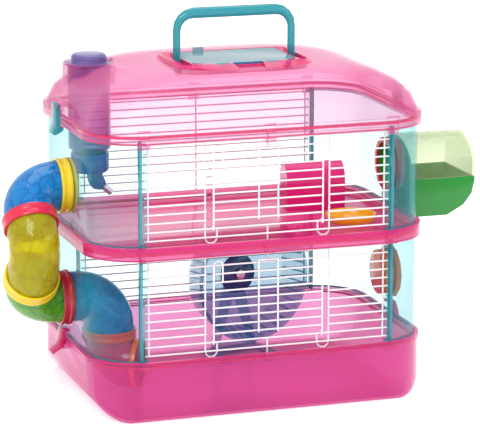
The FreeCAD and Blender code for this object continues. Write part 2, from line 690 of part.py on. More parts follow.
def make_dome_roof():
    """Domed roof on its rim, open under the hatch and at the bottle collar."""
    outer = dome_form(0)
    rim = wall_block(RIM_STEP, RING_TOP, DOME_BASE)
    inner_rim = wall_block(-DOME_WALL, RING_TOP - 1, DOME_BASE)
    roof = outer.fuse(rim).cut(inner_rim).cut(dome_form(DOME_WALL))
    pads = clip_pads(RING_TOP, DOME_BASE + CLIP_RISE)
    roof = roof.multiFuse([pad.cut(outer) for pad in pads])
    axis_point = V(BOTTLE_X, BOTTLE_Y, 0)
    seat = axis_point + V(0, 0, BOTTLE_SEAT)
    rest = BOTTLE_FLANGE_RADIUS + GAP
    brim = seat + V(0, 0, BOTTLE_FLANGE + GAP)
    roof = roof.fuse(cylinder(rest + BOTTLE_COLLAR_WALL, brim - V(0, 0, BOTTLE_COLLAR), brim))
    roof = roof.cut(cylinder(BOTTLE_RADIUS + GAP, axis_point + V(0, 0, RING_TOP), seat))
    roof = roof.cut(cylinder(rest, seat, axis_point + V(0, 0, BOTTLE_TOP)))
    opening = hatch_block(SKIRT_HALF_WIDTH + GAP, SKIRT_FRONT - GAP, SKIRT_BACK + GAP, SKIRT_CORNER,
                          SKIRT_BOTTOM - SKIRT_DEPTH, HATCH_TOP)
    roof = roof.cut(opening)
    pivot_x = WALL_HALF_LENGTH + ROOF_LATCH_OUT
    half = LATCH_HALF_WIDTH + LATCH_EAR + GAP
    housing = box(WALL_HALF_LENGTH - DOME_WALL, pivot_x - LATCH_BARREL - 1, -half, half,
                  DOME_BASE - 1, ROOF_LATCH_HEIGHT + LATCH_BARREL)
    housing = housing.fuse(latch_ears(pivot_x, ROOF_LATCH_HEIGHT, pivot_x - LATCH_BARREL - 2))
    housing = housing.cut(outer.fuse(inner_rim))
    save("dome_roof", roof.multiFuse([housing, mirrored(housing)]))


def hatch_block(half_width, front, back, corner, z0, z1):
    """Upright block with the plan of the hatch."""
    return Part.Face(rounded_wire(-half_width, half_width, front, back, corner, z0)).extrude(V(0, 0, z1 - z0))


def make_hatch_frame():
    """Boat-shaped collar on the crown of the roof, with the lid's seat and the handle's sockets."""
    wide = SKIRT_HALF_WIDTH + COLLAR_FLARE
    foot = rounded_wire(-wide, wide, SKIRT_FRONT - COLLAR_BOW, SKIRT_BACK + COLLAR_FLARE, SKIRT_CORNER,
                        HATCH_TOP - COLLAR_DEPTH, COLLAR_CORNER)
    slim = SKIRT_HALF_WIDTH + COLLAR_BROW
    brow = rounded_wire(-slim, slim, SKIRT_FRONT - COLLAR_BROW, SKIRT_BACK + COLLAR_BROW, SKIRT_CORNER,
                        HATCH_TOP, COLLAR_CORNER)
    collar = Part.makeLoft([foot, brow], True, True)
    skirt = hatch_block(SKIRT_HALF_WIDTH, SKIRT_FRONT, SKIRT_BACK, SKIRT_CORNER, SKIRT_BOTTOM, HATCH_TOP)
    frame = collar.cut(dome_form(0)).fuse(skirt)
    frame = frame.cut(hatch_block(HATCH_HALF_WIDTH, HATCH_FRONT, LID_HINGE_Y - LID_LAP, LID_CORNER - LID_LAP,
                                  SKIRT_BOTTOM - 1, HATCH_TOP + 1))
    half = LID_HALF_WIDTH + GAP
    seat = rounded_wire(-half, half, LID_FRONT - GAP, LID_BACK, 1, LID_BOTTOM - GAP, LID_CORNER)
    frame = frame.cut(Part.Face(seat).extrude(V(0, 0, SKIRT_DEPTH)))
    trough = box(-half, half, LID_HINGE_Y - LID_LAP - 1, LID_BACK,
                 LID_HINGE_Z - LID_HINGE_RADIUS - 2 * GAP, HATCH_TOP + 1)
    frame = frame.cut(trough)
    pin_end = LID_HALF_WIDTH + LID_PIN_LENGTH + GAP
    frame = frame.cut(cylinder(LID_PIN_RADIUS + RUNNING_FIT, V(-pin_end, LID_HINGE_Y, LID_HINGE_Z),
                               V(pin_end, LID_HINGE_Y, LID_HINGE_Z)))
    for x in (-TONGUE_X, TONGUE_X):
        half = TONGUE_WIDTH / 2 + GAP
        frame = frame.cut(box(x - half, x + half, LID_FRONT - TONGUE_LENGTH - GAP, LID_FRONT + LID_LAP,
                              LID_BOTTOM - GAP, HATCH_TOP + 1))
    top = HATCH_TOP + 1
    wide = NOTCH_HALF_WIDTH + NOTCH_FLARE
    far = LID_FRONT - NOTCH_REACH
    notch = [V(-NOTCH_HALF_WIDTH, far, top), V(NOTCH_HALF_WIDTH, far, top),
             V(wide, LID_FRONT, top), V(-wide, LID_FRONT, top)]
    frame = frame.cut(polygon_block(notch, V(0, 0, LID_BOTTOM - NOTCH_DEPTH - top)))
    for side in (LEFT, RIGHT):
        frame = frame.cut(handle_channel(side))
    save("hatch_frame", frame)


def handle_channel(side):
    """Fan-shaped slot that lets a handle leg swing, with the bore for its pin."""
    clear = HANDLE_CLEAR
    lean = math.tan(math.radians(90 - HANDLE_FOLD))
    reach = HANDLE_RISE
    inner = HANDLE_HALF_WIDTH - clear
    drop = HANDLE_PIVOT - clear - GAP
    points = [V(inner, HANDLE_Y - clear, drop), V(inner, HANDLE_Y + clear, drop),
              V(inner, HANDLE_Y + reach, drop + reach * lean), V(inner, HANDLE_Y + reach, drop + reach),
              V(inner, HANDLE_Y - reach, drop + reach), V(inner, HANDLE_Y - reach, drop + reach * lean)]
    slot = polygon_block(points, V(2 * clear, 0, 0))
    bore = cylinder(HANDLE_PIN_RADIUS + RUNNING_FIT, V(HANDLE_HALF_WIDTH, HANDLE_Y, HANDLE_PIVOT),
                    V(SKIRT_HALF_WIDTH + 1, HANDLE_Y, HANDLE_PIVOT))
    channel = slot.fuse(bore)
    return channel if side == RIGHT else mirrored(channel)


def make_hatch_lid():
    """Flat lid with a hinge barrel along its back edge, two front tongues and a thumb tab."""
    z0, z1 = LID_BOTTOM, LID_BOTTOM + LID_THICKNESS
    half = LID_HALF_WIDTH
    plate = Part.Face(rounded_wire(-half, half, LID_FRONT, LID_HINGE_Y, 0.5, z0, LID_CORNER - GAP))
    plate = plate.extrude(V(0, 0, z1 - z0))
    barrel = cylinder(LID_HINGE_RADIUS, V(-half, LID_HINGE_Y, LID_HINGE_Z), V(half, LID_HINGE_Y, LID_HINGE_Z))
    pin_end = half + LID_PIN_LENGTH
    pins = cylinder(LID_PIN_RADIUS, V(-pin_end, LID_HINGE_Y, LID_HINGE_Z),
                    V(pin_end, LID_HINGE_Y, LID_HINGE_Z))
    parts = [barrel, pins]
    for x in (-TONGUE_X, TONGUE_X):
        parts.append(box(x - TONGUE_WIDTH / 2, x + TONGUE_WIDTH / 2,
                         LID_FRONT - TONGUE_LENGTH, LID_FRONT + 1, z0, z1))
    tab_y = LID_HINGE_Y - TAB_BACK
    parts.append(box(TAB_X - TAB_WIDTH / 2, TAB_X + TAB_WIDTH / 2,
                     tab_y, tab_y + LID_THICKNESS, z0, z1 + TAB_HEIGHT))
    save("hatch_lid", plate.multiFuse(parts))


def make_carry_handle():
    """Bowed handle, thicker along its grip than down its legs, on two pins."""
    half = HANDLE_HALF_WIDTH
    bend_x = half - HANDLE_BEND
    bend_z = HANDLE_TOP - HANDLE_BEND
    centre = V(bend_x, HANDLE_Y, bend_z)
    sections = [Part.Wire(Part.makeCircle(HANDLE_LEG_RADIUS, V(half, HANDLE_Y, HANDLE_PIVOT), AXIS_Z))]
    for step in range(HANDLE_BEND_STEPS + 1):
        share = step / HANDLE_BEND_STEPS
        angle = math.pi / 2 * share
        radius = HANDLE_LEG_RADIUS + (HANDLE_BAR_RADIUS - HANDLE_LEG_RADIUS) * share
        place = centre + V(HANDLE_BEND * math.cos(angle), 0, HANDLE_BEND * math.sin(angle))
        heading = V(-math.sin(angle), 0, math.cos(angle))
        sections.append(Part.Wire(Part.makeCircle(radius, place, heading)))
    leg = Part.makeLoft(sections, True, True)
    flat = HANDLE_LEG_RADIUS - HANDLE_FOOT_FLAT
    foot = cylinder(HANDLE_LEG_RADIUS, V(half - flat, HANDLE_Y, HANDLE_PIVOT),
                    V(half + flat, HANDLE_Y, HANDLE_PIVOT))
    pin = cylinder(HANDLE_PIN_RADIUS, V(half, HANDLE_Y, HANDLE_PIVOT),
                   V(SKIRT_HALF_WIDTH - GAP, HANDLE_Y, HANDLE_PIVOT))
    side = leg.multiFuse([foot, pin])
    bar = cylinder(HANDLE_BAR_RADIUS, V(-bend_x, HANDLE_Y, HANDLE_TOP), V(bend_x, HANDLE_Y, HANDLE_TOP))
    save("carry_handle", bar.multiFuse([side, mirrored(side)]))


def make_roof_latch(name, side):
    """Sprung lever on the roof that hooks under the top ring."""
    x = WALL_HALF_LENGTH + ROOF_LATCH_OUT
    z = ROOF_LATCH_HEIGHT
    inner = x - LATCH_BARREL + ROOF_BLADE_SET
    under = RING_BOTTOM - GAP
    hook = RIM_HALF_LENGTH + 0.8
    profile = [(inner, z), (inner, under), (hook, under), (hook, under - 3),
               (inner + 0.5, under - 6), (x + 4.2, under - 8.5), (x + 6.7, under - 7), (x + 2.6, under + 4),
               (x + LATCH_BARREL, z)]
    save_latch(name, side, profile, x, z)


def make_tray_latch(name, side):
    """Lever on the tray's end that hooks over the rib of the lower wall, with a flared finger lip."""
    x = WALL_HALF_LENGTH + TRAY_LATCH_OUT
    z = TRAY_LATCH_HEIGHT
    over = CATCH_TOP + GAP
    hook = WALL_HALF_LENGTH + 1
    inner = RIM_HALF_LENGTH + 3 * GAP
    profile = [(x - LATCH_BARREL, z), (inner, z + 3), (inner, over), (hook, over),
               (hook, over + 2.5), (inner + 3, over + 3.5), (x + 1.5, z + 8), (x + 3.2, z),
               (x + 12, z - 8), (x + 11, z - 9.5), (x - 1, z - 2)]
    save_latch(name, side, profile, x, z)


def save_latch(name, side, profile, x, z):
    """Turn a latch's side view into the lever with its pivot barrel and pins."""
    barrel = LATCH_BARREL
    half = LATCH_HALF_WIDTH
    blade = polygon_block([V(px, -half, pz) for px, pz in profile], V(0, 2 * half, 0))
    pin_end = half + GAP + LATCH_PIN_LENGTH
    lever = blade.multiFuse([cylinder(barrel, V(x, -half, z), V(x, half, z)),
                             cylinder(LATCH_PIN_RADIUS, V(x, -pin_end, z), V(x, pin_end, z))])
    save(name, lever if side == RIGHT else mirrored(lever))


def elbow(centre_bend, stubs, outer, inner, corner, arrive, leave):
    """Quarter bend of tube between two straight stubs, which would meet at the corner."""
    start = corner - arrive * (centre_bend + stubs[0])
    end = corner + leave * (centre_bend + stubs[1])
    pivot = corner - arrive * centre_bend + leave * centre_bend

    spine = [start]
    half_step = math.pi / 4 / BEND_STEPS
    reach = centre_bend / math.cos(half_step)
    for step in range(BEND_STEPS):
        angle = half_step * (2 * step + 1)
        spine.append(pivot - leave * (reach * math.cos(angle)) + arrive * (reach * math.sin(angle)))
    spine.append(end)

    def rod(radius):
        section = Part.Wire(Part.makeCircle(radius, start, arrive))
        return Part.makePolygon(spine).makePipeShell([section], True, False, MITRED)

    return rod(outer).cut(rod(inner))


def tube_elbow(corner, arrive, leave, first_extra=0, last_extra=0):
    """One moulded elbow of the tube run."""
    stubs = (ELBOW_STUB + first_extra, ELBOW_STUB + last_extra)
    return elbow(ELBOW_RADIUS, stubs, TUBE_RADIUS, TUBE_RADIUS - TUBE_WALL, corner, arrive, leave)


def joint_ring(origin, axis, length=JOINT_RING_LENGTH):
    """Waisted collar over the butt of two tubes, its middle at origin."""
    half = length / 2
    bore = TUBE_RADIUS + GAP
    outer = JOINT_RING_RADIUS
    waist = outer - JOINT_RING_GROOVE
    profile = [(bore, -half), (outer, -half), (waist, 0), (outer, half), (bore, half)]
    return turned(profile, origin, axis)


def make_tube_run():
    """Outside run of three elbows between the two left ports, with its collars and sleeves."""
    wall = -WALL_HALF_LENGTH
    out, inward = V(-1, 0, 0), V(1, 0, 0)
    forward = V(0, -1, -1) * math.sqrt(0.5)
    backward = V(0, 1, -1) * math.sqrt(0.5)
    first = V(wall - WALL_STUB - ELBOW_LEG, 0, PORT_UPPER)
    second = first + forward * (2 * ELBOW_LEG)
    third = second + backward * (2 * ELBOW_LEG)
    save("elbow_blue_outer", tube_elbow(first, out, forward, first_extra=WALL_STUB))
    save("elbow_clear_yellow", tube_elbow(second, forward, backward))
    save("elbow_green", tube_elbow(third, backward, inward, last_extra=WALL_STUB))
    save("ring_red", joint_ring(first + forward * ELBOW_LEG, forward))
    save("ring_yellow", joint_ring(second + backward * ELBOW_LEG, backward))
    middle = wall - WALL_RING_LENGTH / 2
    save("wall_ring_upper_left", joint_ring(V(middle, 0, PORT_UPPER), out, WALL_RING_LENGTH))
    save("wall_ring_lower_left", joint_ring(V(middle, 0, PORT_LOWER), out, WALL_RING_LENGTH))
    save("port_sleeve_upper_left", port_sleeve(wall, PORT_UPPER, out, True))
    save("coupler_green", port_sleeve(wall, PORT_LOWER, out, False))


def port_sleeve(wall_x, height, out, flanged):
    """Sleeve through a port that both tubes push on to; a flange inside closes an unused side."""
    inner = SLEEVE_RADIUS - SLEEVE_WALL
    near = -PANEL_THICKNESS
    if flanged:
        flange = JOINT_RING_RADIUS
        profile = [(inner, near - PORT_FLANGE), (flange, near - PORT_FLANGE), (flange, near),
                   (SLEEVE_RADIUS, near), (SLEEVE_RADIUS, SLEEVE_REACH), (inner, SLEEVE_REACH)]
    else:
        reach = SLEEVE_REACH + PANEL_THICKNESS
        profile = [(inner, -reach), (SLEEVE_RADIUS, -reach),
                   (SLEEVE_RADIUS, SLEEVE_REACH), (inner, SLEEVE_REACH)]
    return turned(profile, V(wall_x, 0, height), out)


def make_inner_run():
    """Elbow inside the lower left port that turns down to a swivelling exit elbow."""
    face = -WALL_HALF_LENGTH + PANEL_THICKNESS
    inward, down = V(1, 0, 0), V(0, 0, -1)
    corner = V(face + ELBOW_LEG, 0, PORT_LOWER)
    save("elbow_blue_inner", tube_elbow(corner, inward, down))
    seam = corner + down * ELBOW_LEG
    save("ring_inner_red", joint_ring(seam, down, 2 * (EXIT_STUB + GAP)))
    turn = math.radians(EXIT_TURN)
    leave = V(math.cos(turn), math.sin(turn), 0)
    exit_corner = seam + down * (EXIT_BEND + EXIT_STUB + GAP)
    tube, hollow = TUBE_RADIUS, TUBE_RADIUS - TUBE_WALL
    stubs = (EXIT_STUB, EXIT_MOUTH)
    save("elbow_exit_magenta", elbow(EXIT_BEND, stubs, tube, hollow, exit_corner, down, leave))
    mouth = exit_corner + leave * (EXIT_BEND + EXIT_MOUTH)
    bore = tube + GAP
    outer = EXIT_RING_RADIUS
    profile = [(bore, -EXIT_RING_LENGTH), (outer, -EXIT_RING_LENGTH), (outer, EXIT_RING_WALL),
               (hollow, EXIT_RING_WALL), (hollow, 0), (bore, 0)]
    save("ring_exit_orange", turned(profile, mouth, leave))


def make_port_ring():
    """Collar through the upper right port, clamped on the wall, ribbed inside."""
    inner = SLEEVE_RADIUS - SLEEVE_WALL
    outside = NEST_INNER - WALL_HALF_LENGTH
    near = -PANEL_THICKNESS
    outer = JOINT_RING_RADIUS
    profile = [(inner, near - PORT_FLANGE), (outer, near - PORT_FLANGE), (outer, near),
               (SLEEVE_RADIUS, near), (SLEEVE_RADIUS, 0), (outer, 0),
               (outer - JOINT_RING_GROOVE, outside / 2), (outer, outside), (inner, outside)]
    save("port_ring_red", turned(profile, V(WALL_HALF_LENGTH, 0, PORT_UPPER), AXIS_X))


def nest_tub(inset):
    """Outer form of the tub, with its far lower edge cut on a slant."""
    x0, x1 = NEST_INNER + inset, NEST_OUTER - inset
    z0 = NEST_BOTTOM + inset
    top = NEST_RIM if inset == 0 else NEST_RIM + 1
    points = [(x0, z0), (x1 - NEST_BEVEL_RUN, z0),
              (x1 - NEST_BEVEL_RUN * 0.4, z0 + NEST_BEVEL_RISE * 0.28),
              (x1 - NEST_BEVEL_RUN * 0.1, z0 + NEST_BEVEL_RISE * 0.62),
              (x1, z0 + NEST_BEVEL_RISE), (x1, top), (x0, top)]
    half = NEST_HALF_DEPTH - inset
    return polygon_block([V(px, -half, pz) for px, pz in points], V(0, 2 * half, 0))


def make_nest_box():
    """Tub that hangs on the port collar, with a tall end wall and a neck."""
    tub = nest_tub(0).cut(nest_tub(NEST_WALL))
    wall = nest_cover(NEST_WALL + GAP, NEST_INNER, NEST_INNER + NEST_WALL, NEST_BOTTOM)
    plug_outer = SLEEVE_RADIUS - SLEEVE_WALL - GAP
    plug_inner = plug_outer - TUBE_WALL
    start = V(WALL_HALF_LENGTH - PANEL_THICKNESS, 0, PORT_UPPER)
    finish = V(NEST_INNER + NEST_WALL, 0, PORT_UPPER)
    nest = tub.multiFuse([wall, cylinder(plug_outer, start, finish)])
    save("nest_box", nest.cut(cylinder(plug_inner, start - AXIS_X, finish + AXIS_X)))


def nest_cover(inset, x0, x1, bottom):
    """Solid under the nest box's arched lid, from one place along X to another."""
    half = NEST_HALF_DEPTH - inset
    shoulder = NEST_SHOULDER - inset
    crown = shoulder + NEST_CROWN_RISE
    return arched_block(half, bottom, shoulder, crown, x0, x1)


def make_nest_box_lid():
    """Clear hood with two rows of vent slots, which lifts off the tub."""
    bottom = NEST_RIM + GAP
    hood = nest_cover(0, NEST_INNER + GAP, NEST_OUTER, bottom)
    hollow = nest_cover(NEST_WALL, NEST_INNER - 1, NEST_OUTER - NEST_WALL, bottom - 1)
    hood = hood.cut(hollow)
    slots = []
    middle = (NEST_INNER + NEST_OUTER) / 2
    for y in (-NEST_SLOT_ROW, NEST_SLOT_ROW):
        for column in (-1, 0, 1):
            x = middle + column * NEST_SLOT_PITCH
            slots.append(box(x - NEST_SLOT_LENGTH / 2, x + NEST_SLOT_LENGTH / 2,
                             y - NEST_SLOT_WIDTH, y + NEST_SLOT_WIDTH,
                             NEST_SHOULDER, NEST_SHOULDER + 2 * NEST_CROWN_RISE))
    save("nest_box_lid", hood.cut(Part.makeCompound(slots)))


def make_blanking_cap():
    """Cup-shaped plug in the lower right port, with grip ribs round its flange."""
    plug = PORT_RADIUS - GAP
    flange = JOINT_RING_RADIUS - 1
    inner = plug - TUBE_WALL
    depth = CAP_PLUG_DEPTH
    profile = [(0, -depth), (plug, -depth), (plug, GAP), (flange, GAP), (flange, CAP_FLANGE),
               (inner, CAP_FLANGE), (inner, -depth + TUBE_WALL), (0, -depth + TUBE_WALL)]
    origin = V(WALL_HALF_LENGTH, 0, PORT_LOWER)
    cap = turned(profile, origin, AXIS_X)
    ribs = []
    rib_half = CAP_RIB_WIDTH / 2
    for place in range(CAP_RIB_COUNT):
        rib = box(WALL_HALF_LENGTH + GAP, WALL_HALF_LENGTH + CAP_FLANGE, -rib_half, rib_half,
                  PORT_LOWER + flange - 1, PORT_LOWER + flange + CAP_RIB_HEIGHT)
        rib.rotate(origin, AXIS_X, 360 * place / CAP_RIB_COUNT)
        ribs.append(rib)
    grip = CAP_GRIP / 2
    bar = box(WALL_HALF_LENGTH - depth + 1, WALL_HALF_LENGTH + CAP_FLANGE - CAP_GRIP, -grip, grip,
              PORT_LOWER - inner - TUBE_WALL / 4, PORT_LOWER + inner + TUBE_WALL / 4)
    save("blanking_cap", cap.multiFuse(ribs + [bar]))


def make_bottle():
    """Inverted water bottle that hangs in the roof collar, with cap, spout and ball."""
    origin = V(BOTTLE_X, BOTTLE_Y, 0)
    seat = BOTTLE_SEAT + GAP
    r, w = BOTTLE_RADIUS, BOTTLE_WALL
    flange_top = seat + BOTTLE_FLANGE
    neck_bottom = BOTTLE_BOTTOM - BOTTLE_NECK
    crown, neck = BOTTLE_CROWN_RADIUS, BOTTLE_NECK_RADIUS
    shoulder = BOTTLE_BOTTOM + BOTTLE_SHOULDER
    profile = [(0, BOTTLE_TOP), (crown - 3, BOTTLE_TOP), (crown, BOTTLE_TOP - 3), (crown, flange_top),
               (BOTTLE_FLANGE_RADIUS, flange_top), (BOTTLE_FLANGE_RADIUS, seat), (r, seat), (r, shoulder),
               (neck, BOTTLE_BOTTOM), (neck, neck_bottom), (neck - w, neck_bottom),
               (neck - w, BOTTLE_BOTTOM + w / 2), (r - w, shoulder + w / 2), (r - w, seat),
               (crown - w, flange_top), (crown - w, BOTTLE_TOP - w), (0, BOTTLE_TOP - w)]
    save("bottle_body", turned(profile, origin, AXIS_Z))
    cap_bottom = BOTTLE_BOTTOM - CAP_HEIGHT
    thread = neck + GAP
    cap_hole = neck - w - CAP_WALL
    cap_profile = [(0, cap_bottom), (CAP_RADIUS - 3, cap_bottom), (CAP_RADIUS, cap_bottom + 3),
                   (CAP_RADIUS, BOTTLE_BOTTOM), (thread, BOTTLE_BOTTOM), (thread, neck_bottom - GAP),
                   (cap_hole, neck_bottom - GAP), (cap_hole, cap_bottom + CAP_WALL),
                   (0, cap_bottom + CAP_WALL)]
    spout_x = BOTTLE_X + SPOUT_OFFSET
    top = cap_bottom + 2 * CAP_WALL
    hole = cylinder(SPOUT_RADIUS + RUNNING_FIT, V(spout_x, BOTTLE_Y, cap_bottom - 1),
                    V(spout_x, BOTTLE_Y, top))
    save("bottle_cap", turned(cap_profile, origin, AXIS_Z).cut(hole))
    make_spout(spout_x, cap_bottom, top)


def make_spout(x, cap_bottom, top):
    """Bent steel spout with its flange inside the cap, and the ball at its mouth."""
    bend_z = cap_bottom - SPOUT_DROP
    pivot = V(x + SPOUT_BEND, BOTTLE_Y, bend_z)
    turn = math.radians(SPOUT_ANGLE)
    rings = [Part.Wire(Part.makeCircle(SPOUT_RADIUS, V(x, BOTTLE_Y, top), -AXIS_Z))]
    for step in range(SPOUT_BEND_STEPS + 1):
        angle = turn * step / SPOUT_BEND_STEPS
        place = pivot - V(SPOUT_BEND * math.cos(angle), 0, SPOUT_BEND * math.sin(angle))
        heading = V(math.sin(angle), 0, -math.cos(angle))
        rings.append(Part.Wire(Part.makeCircle(SPOUT_RADIUS, place, heading)))
    tip = place + heading * SPOUT_TIP
    rings.append(Part.Wire(Part.makeCircle(SPOUT_RADIUS, tip, heading)))
    flange = cylinder(SPOUT_RADIUS + CAP_WALL, V(x, BOTTLE_Y, cap_bottom + CAP_WALL), V(x, BOTTLE_Y, top))
    mouth = cylinder(SPOUT_BORE, tip - heading * (2 * BALL_RADIUS), tip + heading)
    save("bottle_spout", Part.makeLoft(rings, True, True).fuse(flange).cut(mouth))
    slope = BALL_RADIUS * math.sqrt(0.5)
    ball = [(0, -BALL_RADIUS), (slope, -slope), (BALL_RADIUS, 0), (slope, slope), (0, BALL_RADIUS)]
    save("spout_ball", turned(ball, tip - heading * (BALL_RADIUS / 2), AXIS_Z))


def make_wheel():
    """Running wheel: a tapering treaded drum with its hub, on an axle in a stand."""
    depth = WHEEL_DEPTH
    front, back, w = WHEEL_RADIUS, WHEEL_BACK_RADIUS, WHEEL_WALL
    plate_hole = HUB_RADIUS - HUB_LAP
    drum_profile = [(front - w, 0), (front + WHEEL_FLANGE, 0), (front + WHEEL_FLANGE, WHEEL_FLANGE_WIDTH),
                    (front, WHEEL_FLANGE_WIDTH), (back, depth), (plate_hole, depth), (plate_hole, depth - w),
                    (back - w, depth - w)]
    drum = turned(drum_profile, V(0, 0, 0), AXIS_Y)
    lean = math.degrees(math.atan2(front - back, depth))
    treads = []
    for place in range(TREAD_COUNT):
        tread = box(-TREAD_WIDTH / 2, TREAD_WIDTH / 2, TREAD_WIDTH, depth - w + w / 4, -w / 4, TREAD_HEIGHT)
        tread.rotate(V(0, 0, 0), AXIS_X, lean)
        tread.translate(V(0, 0, -front + w))
        tread.rotate(V(0, 0, 0), AXIS_Y, 360 * place / TREAD_COUNT)
        treads.append(tread)
    set_wheel_piece("running_wheel", drum.multiFuse(treads))
    bore = AXLE_RADIUS + RUNNING_FIT
    nose = depth - w - HUB_DEPTH
    hub_profile = [(bore, nose), (HUB_NOSE_RADIUS, nose), (HUB_RADIUS, depth - w - HUB_DEPTH / 2),
                   (HUB_RADIUS, depth - w), (plate_hole - GAP, depth - w), (plate_hole - GAP, depth + w),
                   (bore, depth + w)]
    set_wheel_piece("wheel_hub", turned(hub_profile, V(0, 0, 0), AXIS_Y))
    make_wheel_stand(nose - GAP - AXLE_HEAD, depth + w + GAP)


def make_wheel_stand(head_start, shoulder_start):
    """Fixed axle with a head in front of the hub and a shoulder behind it, and its triangular stand."""
    plate_front = shoulder_start + STAND_GAP
    plate_back = plate_front + STAND_THICKNESS
    head_end = head_start + AXLE_HEAD
    axle_end = plate_back + AXLE_HEAD
    axle_profile = [(0, head_start), (AXLE_HEAD_RADIUS, head_start), (AXLE_HEAD_RADIUS, head_end),
                    (AXLE_RADIUS, head_end), (AXLE_RADIUS, shoulder_start),
                    (AXLE_SHOULDER_RADIUS, shoulder_start), (AXLE_SHOULDER_RADIUS, plate_front),
                    (AXLE_RADIUS, plate_front), (AXLE_RADIUS, axle_end), (0, axle_end)]
    set_wheel_piece("wheel_axle", turned(axle_profile, V(0, 0, 0), AXIS_Y))
    floor = -WHEEL_AXLE_HEIGHT
    half = STAND_FOOT_HALF_WIDTH
    bar = STAND_FOOT_BAR
    foot = box(-half, half, STAND_FOOT_FRONT, STAND_FOOT_BACK, floor, floor + STAND_THICKNESS)
    foot = foot.cut(box(-half + bar, half - bar, STAND_FOOT_FRONT - 1, plate_front - bar / 2,
                        floor - 1, floor + STAND_THICKNESS + 1))
    head = STAND_HEAD_RADIUS
    mast_half = half - bar / 2
    mast = polygon_block([V(-mast_half, plate_front, floor), V(mast_half, plate_front, floor),
                          V(head, plate_front, 0), V(-head, plate_front, 0)], V(0, STAND_THICKNESS, 0))
    boss = cylinder(head, V(0, plate_front, 0), V(0, plate_back, 0))
    window = polygon_block([V(-mast_half + bar, plate_front - 1, floor + bar),
                            V(mast_half - bar, plate_front - 1, floor + bar),
                            V(0, plate_front - 1, -2 * bar)], V(0, STAND_THICKNESS + 2, 0))
    hole = cylinder(AXLE_RADIUS, V(0, plate_front - 1, 0), V(0, plate_back + 1, 0))
    set_wheel_piece("wheel_stand", foot.multiFuse([mast, boss]).cut(window).cut(hole))


def set_wheel_piece(name, shape):
    """Keep a piece of the wheel, turned and set where the wheel stands."""
    save(name, moved(shape, WHEEL_TURN, WHEEL_X, WHEEL_Y, WHEEL_Z))


def arched_block(half, bottom, spring, crown, x0, x1):
    """Block along X with upright sides and a top that arches from its spring lines to its crown."""
    low_left, low_right = V(x0, -half, bottom), V(x0, half, bottom)
    left, right = V(x0, -half, spring), V(x0, half, spring)
    edges = [Part.LineSegment(low_left, low_right).toShape(), Part.LineSegment(low_right, right).toShape(),
             Part.Arc(right, V(x0, 0, crown), left).toShape(), Part.LineSegment(left, low_left).toShape()]
    return Part.Face(Part.Wire(edges)).extrude(V(x1 - x0, 0, 0))


def make_house():
    """Barrel-roofed hide with an arched doorway in its right end."""
    half, side, w = HOUSE_LENGTH / 2, HOUSE_DEPTH / 2, HOUSE_WALL
    spring = HOUSE_HEIGHT - side
    shell = arched_block(side, 0, spring, HOUSE_HEIGHT, -half, half)
    hollow = arched_block(side - w, -1, spring, HOUSE_HEIGHT - w, -half + w, half - w)
    door_top = HOUSE_DOOR_HEIGHT + HOUSE_DOOR_HALF
    doorway = arched_block(HOUSE_DOOR_HALF, -1, HOUSE_DOOR_HEIGHT, door_top, half - 2 * w, half + 1)
    house = shell.cut(hollow).cut(doorway)
    save("hide_house", moved(house, HOUSE_TURN, HOUSE_X, HOUSE_Y, DECK_TOP))


def make_dish():
    """Round food dish with a thick rolled rim."""
    r, w = DISH_RADIUS, DISH_WALL
    profile = [(0, 0), (r - 3, 0), (r, DISH_HEIGHT - w), (r - w / 4, DISH_HEIGHT), (r - 3, DISH_HEIGHT),
               (r - 6, w), (0, w)]
    save("food_dish", turned(profile, V(DISH_X, DISH_Y, DECK_TOP), AXIS_Z))


make_base_tray()
for tag, seat in (("lower", LOWER_SEAT), ("upper", UPPER_SEAT)):
    base = seat + LIP_DEPTH
    make_side_panel("side_panel_" + tag + "_left", LEFT, seat)
    make_side_panel("side_panel_" + tag + "_right", RIGHT, seat)
    make_front_grid(tag + "_front_grid", base)
    make_front_door(tag + "_front_door", base)
    make_back_grid(tag + "_back_grid", base)
make_mid_deck()
make_top_frame()
make_dome_roof()
make_hatch_frame()
make_hatch_lid()
make_carry_handle()
for tag, side in (("left", LEFT), ("right", RIGHT)):
    make_roof_latch("roof_latch_" + tag, side)
    make_tray_latch("tray_latch_" + tag, side)
make_tube_run()
make_inner_run()
make_port_ring()
make_nest_box()
make_nest_box_lid()
make_blanking_cap()
make_bottle()
make_wheel()
make_house()
make_dish()

os.makedirs("parts", exist_ok=True)
for name, shape in pieces.items():
    shape.exportStep("parts/" + name + ".step")
    size = shape.BoundBox
    extent = "%.1f x %.1f x %.1f" % (size.XLength, size.YLength, size.ZLength)
    print(name, len(shape.Solids), "solid(s), valid", shape.isValid(), extent)
print(len(pieces), "pieces")
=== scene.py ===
"""Dressed model of a two-storey hamster cage with a domed roof and an outside tube run.

Sizes in the classes are in millimetres, as on a drawing, and metres() turns them into the
frame's units. The origin is the middle of the tray's underside, +X points to the nest box
and -Y to the doors.
"""

import bpy
import logging
import math
from dataclasses import dataclass
from enum import Enum
from typing import Callable, Sequence

from mathutils import Matrix, Vector

